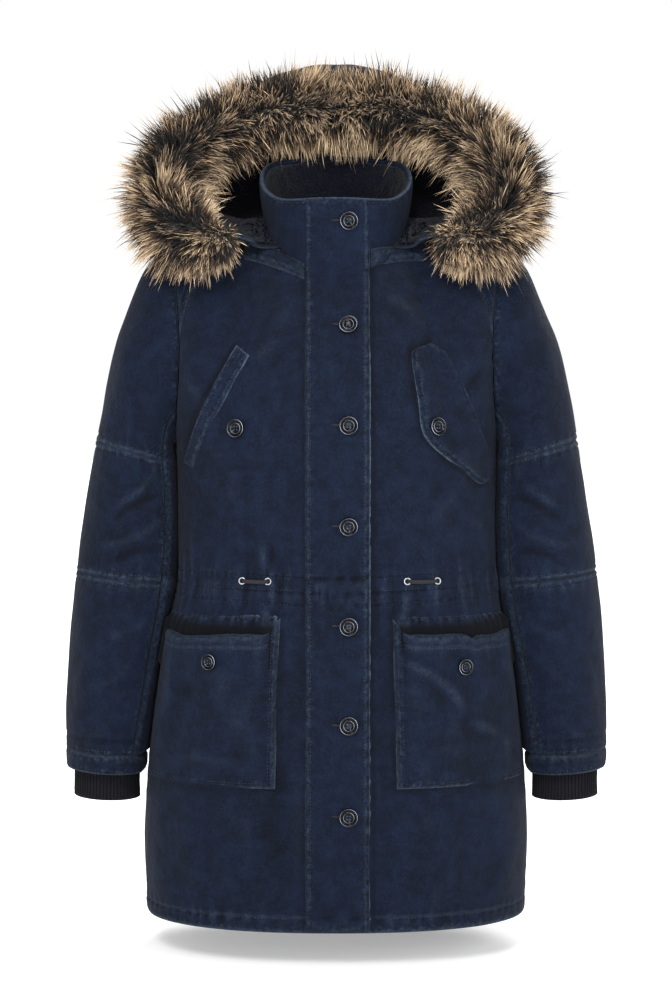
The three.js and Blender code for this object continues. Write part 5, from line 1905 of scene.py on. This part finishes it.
class PARKA_OT_hood(Maker):
    """Hood lying back off the shoulders: a centre strip, two sides, its pile lining and the zip that joins
    it on"""

    bl_idname = "parka.hood"
    bl_label = "Hood"

    def make(self, context):
        c = cell() * 1.3

        def relief(p, s, t):
            seam, up = (np.abs(s) - HOOD_STRIP) * HOOD_ROUND, t * HOOD_LENGTH
            total = 1.1 * unevenness(p, 200) + folds(s * HOOD_ROUND, up, HOOD_FOLDS)
            total = total + groove(np.abs(seam) - 6, 0.8, 1.4) + puckers(up, seam, 1.1, 11, 16, 201)
            return total * step(0, 0.06, t) + puckers(s * HOOD_ROUND, up, 1.0, 12, 15, 202)

        ts = merged(np.linspace(0, 1, int(330 / c)), [0.004, 0.01, 0.018])
        ends = np.array([1, 2.5, 5]) / HOOD_ROUND
        for name, low, high in (
            ("hood_side_right", -1, -HOOD_STRIP), ("hood_centre", -HOOD_STRIP, HOOD_STRIP),
            ("hood_side_left", HOOD_STRIP, 1),
        ):
            across = merged(np.linspace(low, high, int((high - low) * 400 / c)), low + ends, high - ends)
            build(name, hood_cloth, across, ts, -1, relief, nodes=[name], worn_edge=0.3)

        def lined(s, t):
            return hood_cloth(s, t) - normals(hood_cloth, s, t, -1) * 4.6

        tufts = lambda p, s, t: 1.6 * noise(p, 9, 210) + 1.4 * noise(p, 20, 211) + 1.0
        across, up = np.linspace(-0.97, 0.97, int(600 / c)), np.linspace(0.05, 0.97, int(230 / c))
        build("hood_lining", lined, across, up, 1, tufts, thickness=1.4, nodes=["hood_lining"], slot="pile",
              material=finish("pile"), worn_edge=0.0)
        for word, corners in HOOD_TABS.items():
            corners = np.array(corners, float)

            def tab(t, k):
                low = mix(corners[0], corners[1], t[..., None])
                high = mix(corners[3], corners[2], t[..., None])
                xz = mix(low, high, k[..., None])
                return on_front(xz[..., 0], xz[..., 1] + 2.5 * np.sin(np.pi * t))

            def creases(p, t, k):
                return 8.0 + 0.9 * noise(p, 14, 205) + groove(np.minimum(k, 1 - k) * 20 - 5, 0.7, 1.3)

            across, up = np.linspace(0, 1, 26), np.linspace(0, 1, 12)
            build(f"hood_tab_{word}", tab, across, up, facing_turn(tab, across, up), creases, thickness=3.4,
                  worn_edge=0.35)
        s = np.linspace(-1, 1, ZIP_TEETH)
        foot, head = (hood_seam(s, 0.8, up) for up in ZIP_SPAN)
        tape = lambda u, v: mix(*(hood_seam(u, 1.6, up) for up in ZIP_SPAN), v[..., None])
        build(
            "hood_zip", tape, np.linspace(-1, 1, 160), np.linspace(0, 1, 7), -1, None, thickness=1.0,
            nodes=["hood_zip"], slot="brass", worn_edge=0.0, tuck=0, sheet=False,
        )
        place, away = mix(foot, head, 0.5), unit(foot - stack(0, 0, foot[:, 2]))
        ahead = unit(np.gradient(place, axis=0))
        up = np.cross(away, ahead)
        tooth = np.array([(x, y, z) for x in (-0.42, 0.42) for y in (-0.6, 0.9) for z in (-1.3, 1.3)])
        z_side = np.where(np.arange(ZIP_TEETH) % 2, 0.9, -0.9)[:, None]
        points = place[:, None] + ahead[:, None] * tooth[None, :, :1] + away[:, None] * (
            tooth[None, :, 1:2] + 1.5
        )
        points = points + up[:, None] * (tooth[None, :, 2:] + z_side[:, None])
        box = np.array(
            [
                [0, 1, 3], [0, 3, 2], [4, 6, 7], [4, 7, 5], [0, 4, 5], [0, 5, 1], [2, 3, 7], [2, 7, 6],
                [0, 2, 6], [0, 6, 4], [1, 5, 7], [1, 7, 3],
            ]
        )
        faces = outward(points[0], box)
        make_object(
            "hood_zip_teeth", points.reshape(-1, 3),
            (np.arange(ZIP_TEETH)[:, None, None] * 8 + faces).reshape(-1, 3), finish("brass"),
            smooth_faces=False,
        )


FUR_HEART = (0, 0, 60)  # point that the fur's outward direction turns from


def fur_frame(s):
    """Middle of the fur at s, with its unit directions ahead, outward from the neck, and across."""
    p = fur_point(s)
    ahead = unit(fur_point(np.minimum(s + 0.01, 1)) - fur_point(np.maximum(s - 0.01, -1)))
    out = unit(np.cross(p - FUR_HEART, ahead))
    return p, ahead, out, np.cross(ahead, out)


def keep_out(p, gap=2.0):
    """Points moved up off the shoulders and ahead of the fronts, wherever they lie inside the coat."""
    p = over_shoulders(p, gap)
    low = (p[..., 2] < 30) & (np.abs(p[..., 0]) < 198) & (p[..., 1] < 0)
    x, y, z = p[low].T
    ahead = on_front(np.clip(x, -196, 196), np.clip(z, -200, 28))[..., 1] - gap - 3
    p[low] = stack(x, np.minimum(y, ahead), z)
    return p


class PARKA_OT_fur(Maker):
    """Fur trim round the hood's opening, in three lengths: hairs on a dark pelt"""

    bl_idname = "parka.fur"
    bl_label = "Fur Trim"

    def make(self, context):
        total, longest = sizes().fur_count, sizes().fur_length / MM
        for name, low, high, seed, share in (
            ("fur_trim_right", -1.0, -0.5, 301, 0.31),
            ("fur_trim_top", -0.5, 0.5, 302, 0.38),
            ("fur_trim_left", 0.5, 1.0, 303, 0.31),
        ):
            ring = np.linspace(low, high, 60)
            p, _, out, across = fur_frame(ring)
            a = np.linspace(0, 2 * np.pi, 20, endpoint=False)
            thin = (0.35 + 0.65 * np.minimum(1, (1 - np.abs(ring)) * 8))[:, None, None]
            way = out[:, None] * np.cos(a)[None, :, None] + across[:, None] * np.sin(a)[None, :, None]
            pelt = p[:, None] + way * 17 * thin
            pelt += way * (3 * noise(pelt, 12, seed))[..., None]
            points, faces = capped(keep_out(pelt, 3.0))
            verts, ribbons, tip, tint_value, flat = self.hairs(low, high, int(total * share), longest, seed)
            zero = np.zeros(len(points))
            make_object(
                name,
                np.concatenate([points, verts]),
                np.concatenate([faces, ribbons + len(points)]),
                finish("fur"),
                [name],
                {"OFBake": np.concatenate([np.stack([zero + 0.5, zero], -1), flat])},
                {"tip": np.concatenate([zero, tip]), "tint": np.concatenate([zero + 0.3, tint_value])},
            )

    def hairs(self, low, high, count, longest, seed):
        """Ribbons of five triangles: each runs from the pelt along its ray, bends towards its clump and its
        lie, and narrows to a point."""
        rng = np.random.default_rng(seed)
        s = rng.uniform(low, high, count)
        angle = rng.uniform(0, 2 * np.pi, count)
        p, ahead, out, across = fur_frame(s)
        way = out * np.cos(angle)[:, None] + across * np.sin(angle)[:, None]
        end = 0.4 + 0.6 * np.minimum(1, (1 - np.abs(s)) * 7)
        root = p + way * (15 * end)[:, None]
        clump_s = np.round(s * 44 + 0.5 * rng.standard_normal(count)) / 44
        clump_a = np.round(angle * 2.4 + 0.25 * rng.standard_normal(count)) / 2.4
        jitter = noise(stack(clump_s * 50, clump_a * 7, 0 * s), 1.0, seed + 3)
        cp, _, cout, cacross = fur_frame(np.clip(clump_s, -1, 1))
        ca = clump_a + 0.35 * jitter
        clump = cp + (cout * np.cos(ca)[:, None] + cacross * np.sin(ca)[:, None]) * longest
        length = longest * (0.6 + 0.46 * rng.random(count) ** 0.8) * (
            1 + 0.2 * jitter + 0.3 * (rng.random(count) < 0.05)
        ) * end
        aim = p + way * length[:, None]
        tip = mix(aim, mix(p, clump, (length / longest)[:, None]), (0.3 + 0.55 * rng.random(count))[:, None])
        lie = noise(p, 38, seed + 5)[:, None] * ahead * 10 + ahead * (7 * rng.standard_normal(count))[:, None]
        droop = 2.5 + 9 * step(0.55, 0.85, np.abs(s))
        tip = tip + lie + rng.normal(0, 1.5, (count, 3)) - stack(0 * s, 0 * s, droop)
        t = np.array([0.0, 0.35, 0.7, 1.0])
        bend = (mix(root, tip, 0.5) + way * (2.5 + 4 * rng.random(count))[:, None])[:, None]
        k = t[None, :, None]
        path = (1 - k) ** 2 * root[:, None] + 2 * k * (1 - k) * bend + k**2 * tip[:, None]
        path = keep_out(path, 1.0)
        turn = rng.standard_normal((count, 3))
        side = unit(np.cross(tip - root, turn))
        width = (0.46 + 0.36 * rng.random(count))[:, None, None] * np.array([0.8, 1.0, 0.7])[None, :, None]
        left, right = path[:, :3] + side[:, None] * width, path[:, :3] - side[:, None] * width
        verts = np.concatenate([np.stack([left, right], 2).reshape(count, 6, 3), path[:, 3:]], 1)
        ribbon = np.array([[0, 1, 3], [0, 3, 2], [2, 3, 5], [2, 5, 4], [4, 5, 6]])
        faces = (np.arange(count)[:, None, None] * 7 + ribbon).reshape(-1, 3)
        tips = np.tile(np.array([t[0], t[0], t[1], t[1], t[2], t[2], 1.0]), count)
        # Tint of each hair: random, in patches and by clump, and lowered towards the sides as painted shade.
        patch = 0.5 * noise(
            p + way * 30, 20, seed + 7
        ) + 0.38 * jitter - 0.12 * step(60, 150, np.abs(p[..., 0]))
        tints = np.repeat(np.clip(0.52 + 0.2 * rng.standard_normal(count) + patch, 0, 1), 7)
        u = np.repeat(rng.random(count), 7) + np.tile(np.array([0, 1, 0, 1, 0, 1, 0.5]) * 0.004, count)
        return verts.reshape(-1, 3), faces, tips, tints, np.stack([u, tips], -1)


class PARKA_OT_stitching(Maker):
    """Rows of top-stitching along the seams, hems and casing"""

    bl_idname = "parka.stitching"
    bl_label = "Top-Stitching"

    def make(self, context):
        line = np.linspace(0, 1, 240)
        body_lines, sleeve_lines, pocket_lines, collar_lines = [], [], [], []
        for word, side in SIDES:
            front = f"front_{word}"
            inner = 0.125 if side < 0 else 0.14
            share = mix(inner, 0.985, line)
            body_lines.append((front, share, front_height(HEM_STITCH)))
            body_lines += [(front, share, front_height(z)) for z in CASING_ROWS]
            seam = mix(YOKE_START + 0.03, 0.985, line)
            body_lines.append((front, seam, np.full(240, 2 - 8 / YOKE_SEAM_DROP)))
            body_lines.append((f"yoke_{word}", mix(0.03, 0.97, line), 6 / YOKE_LENGTH))
            body_lines.append((f"yoke_{word}", mix(0.03, 0.97, line), 12 / YOKE_LENGTH))
            for seam in (ELBOW_TOP, ELBOW_BOTTOM):
                above, below = (
                    ("sleeve_upper", "elbow_panel") if seam == ELBOW_TOP else ("elbow_panel", "sleeve_lower")
                )
                angles = mix(UNDER_TO - 358, UNDER_FROM - 2, line)
                sleeve_lines.append((f"{above}_{word}", angles, seam - 7 / RING_RUN))
                sleeve_lines.append((f"{below}_{word}", angles, seam + 7 / RING_RUN))
            sleeve_lines.append(
                (f"sleeve_lower_{word}", mix(UNDER_TO - 358, UNDER_FROM - 2, line), BAND_TOP - 9 / 72)
            )
            sleeve_lines.append((f"sleeve_hem_{word}", line * 356, SLEEVE_HEM - 0.25))
            for piece, low, high in (
                ("sleeve_upper", 0, ELBOW_TOP), ("elbow_panel", ELBOW_TOP, ELBOW_BOTTOM),
                ("sleeve_lower", ELBOW_BOTTOM, BAND_TOP),
            ):
                for angle in (UNDER_FROM - UNDER_STITCH, UNDER_TO - 360 + UNDER_STITCH):
                    sleeve_lines.append(
                        (f"{piece}_{word}", np.full(240, angle), mix(low + 0.06, high - 0.06, line))
                    )
            pocket = f"patch_pocket_{word}"
            edges = (POCKET_INNER + POCKET_INSET, POCKET_OUTER - POCKET_INSET)
            across = mix(*edges, line)
            for down in POCKET_HEM:
                pocket_lines.append((pocket, across, POCKET_TOP - down))
            pocket_lines.append((pocket, across, POCKET_BOTTOM + 6))
            for share in edges:
                pocket_lines.append(
                    (pocket, np.full(240, share), mix(POCKET_BOTTOM + 6, POCKET_TOP - 6, line))
                )
            pocket_lines.append(
                (f"pocket_flap_{word}", mix(POCKET_INNER + 0.02, POCKET_OUTER - 0.02, line), FLAP_TOP - 3.5)
            )
        back = mix(-0.985, 0.985, np.linspace(0, 1, 600))
        body_lines.append(("back", back, np.full(600, front_height(HEM_STITCH))))
        body_lines += [("back", back, front_height(z)) for z in CASING_ROWS]
        upright = mix(HEM_Z + 10, PLACKET_TOP - 8, np.linspace(0, 1, 700))
        for x in PLACKET_STITCH:
            collar_lines.append(("placket", np.full(700, x), upright))
        collar_lines.append(("collar", np.linspace(12, 348, 600), 1 - 6 / COLLAR_HEIGHT))
        for name, rows, t in (
            ("chest_welt_right", WELT, (0.25, 0.75)), ("chest_flap_left", CHEST_FLAP, (0.91,))
        ):
            top = len(rows[next(iter(rows))]) - 1
            for share in t:
                pocket_lines.append((name, np.full(240, share), mix(0.2, top - 0.2, line)))
        collar_lines += [
            ("hood_side_right", np.full(240, -HOOD_STRIP - 0.015), mix(0.02, 0.9, line)),
            ("hood_side_left", np.full(240, HOOD_STRIP + 0.015), mix(0.02, 0.9, line)),
        ]
        for name, lines in (
            ("stitches_body", body_lines), ("stitches_sleeves", sleeve_lines),
            ("stitches_pockets", pocket_lines), ("stitches_collar", collar_lines),
        ):
            stitches(name, lines)


FLOOR_Z, FLOOR_REACH, FLOOR_LINES = -0.853, 40, 41  # metres
SKY_LIGHT = 0.55  # strength of the sky on the coat; the camera sees it white
LIGHTS = (  # name, place, size, power and aim
    ("key", (-0.6, -2.3, 1.5), 0.9, 52, (0, 0, -0.35)),
    ("fill", (1.9, -1.8, 0.6), 1.2, 22, (0, 0, -0.35)),
    ("top", (0.2, 0.4, 2.2), 1.4, 34, (0, 0, 0)),
    ("low", (0, -2.0, -0.5), 1.2, 20, (0, 0, -0.75)),
    ("behind", (0.8, 2.3, 1.2), 1.4, 50, (0, 0, -0.3)),
)
CAMERA, CAMERA_AIM, FOCAL_LENGTH = (0, -2.5, -0.21), (0, 0, -0.3025), 71.4


class PARKA_OT_stage(Maker):
    """Pale floor glowing as painted light, under a pale sky, with soft lights and the camera"""

    bl_idname = "parka.stage"
    bl_label = "Stage"

    def make(self, context):
        side = np.linspace(-FLOOR_REACH, FLOOR_REACH, FLOOR_LINES)
        points = stack(side[None, :], side[:, None], FLOOR_Z)
        mesh = bpy.data.meshes.new("floor")
        mesh.from_pydata(points.reshape(-1, 3).tolist(), [], grid_faces(FLOOR_LINES, FLOOR_LINES).tolist())
        mesh.polygons.foreach_set("use_smooth", np.full(len(mesh.polygons), True))
        mesh.materials.append(finish("floor"))
        floor = bpy.data.objects.new("floor", mesh)
        context.scene.collection.objects.link(floor)
        for name, place, size, power, aim in LIGHTS:
            light = bpy.data.lights.new(name, "AREA")
            light.size, light.energy = size, power
            lamp = bpy.data.objects.new(name, light)
            lamp.location = place
            lamp.rotation_euler = turned(place, aim)
            context.scene.collection.objects.link(lamp)
        sky = Shader(bpy.data.worlds.new("Studio"), "Background")
        seen = sky.node("ShaderNodeLightPath", output="Is Camera Ray")
        strength = sky.node("ShaderNodeMapRange", {}, {"Value": seen, "To Min": SKY_LIGHT, "To Max": 1.0})
        context.scene.world = sky.set(Color=(1, 1, 1, 1), Strength=strength)
        camera = bpy.data.cameras.new("camera")
        camera.lens, camera.sensor_width, camera.sensor_fit = FOCAL_LENGTH, 36, "AUTO"
        eye = bpy.data.objects.new("camera", camera)
        eye.location = CAMERA
        eye.rotation_euler = turned(eye.location, CAMERA_AIM)
        context.scene.collection.objects.link(eye)
        context.scene.camera = eye
        context.scene.view_settings.view_transform = "Standard"


def turned(place, aim):
    """Rotation that points -z from a place at an aim, with y up."""
    x, y, z = (a - p for a, p in zip(aim, place))
    return math.atan2(math.hypot(x, y), -z), 0, math.atan2(-x, y)


STEPS = (
    PARKA_OT_fronts,
    PARKA_OT_back,
    PARKA_OT_sleeves,
    PARKA_OT_cuffs,
    PARKA_OT_collar,
    PARKA_OT_placket,
    PARKA_OT_chest_pockets,
    PARKA_OT_patch_pockets,
    PARKA_OT_buttons,
    PARKA_OT_waist_cords,
    PARKA_OT_hood,
    PARKA_OT_fur,
    PARKA_OT_stitching,
    PARKA_OT_stage,
)


class PARKA_PT_panel(bpy.types.Panel):
    """Sizes, colours and makers of the parka"""

    bl_label = "Parka"
    bl_idname = "PARKA_PT_panel"
    bl_space_type = "VIEW_3D"
    bl_region_type = "UI"
    bl_category = "Parka"

    def draw(self, context):
        for group in (context.scene.parka_sizes, context.scene.parka_colours):
            box = self.layout.box()
            for key in group.__annotations__:
                box.prop(group, key)
        for maker in STEPS:
            self.layout.operator(maker.bl_idname)


CLASSES = (ParkaColours, ParkaSizes, *STEPS, PARKA_PT_panel)


def register():
    for item in CLASSES:
        bpy.utils.register_class(item)
    bpy.types.Scene.parka_colours = bpy.props.PointerProperty(type=ParkaColours)
    bpy.types.Scene.parka_sizes = bpy.props.PointerProperty(type=ParkaSizes)


def unregister():
    del bpy.types.Scene.parka_sizes
    del bpy.types.Scene.parka_colours
    for item in reversed(CLASSES):
        bpy.utils.unregister_class(item)


def main():
    register()
    for maker in STEPS:
        group, name = maker.bl_idname.split(".")
        getattr(getattr(bpy.ops, group), name)()


if __name__ == "__main__":
    main()
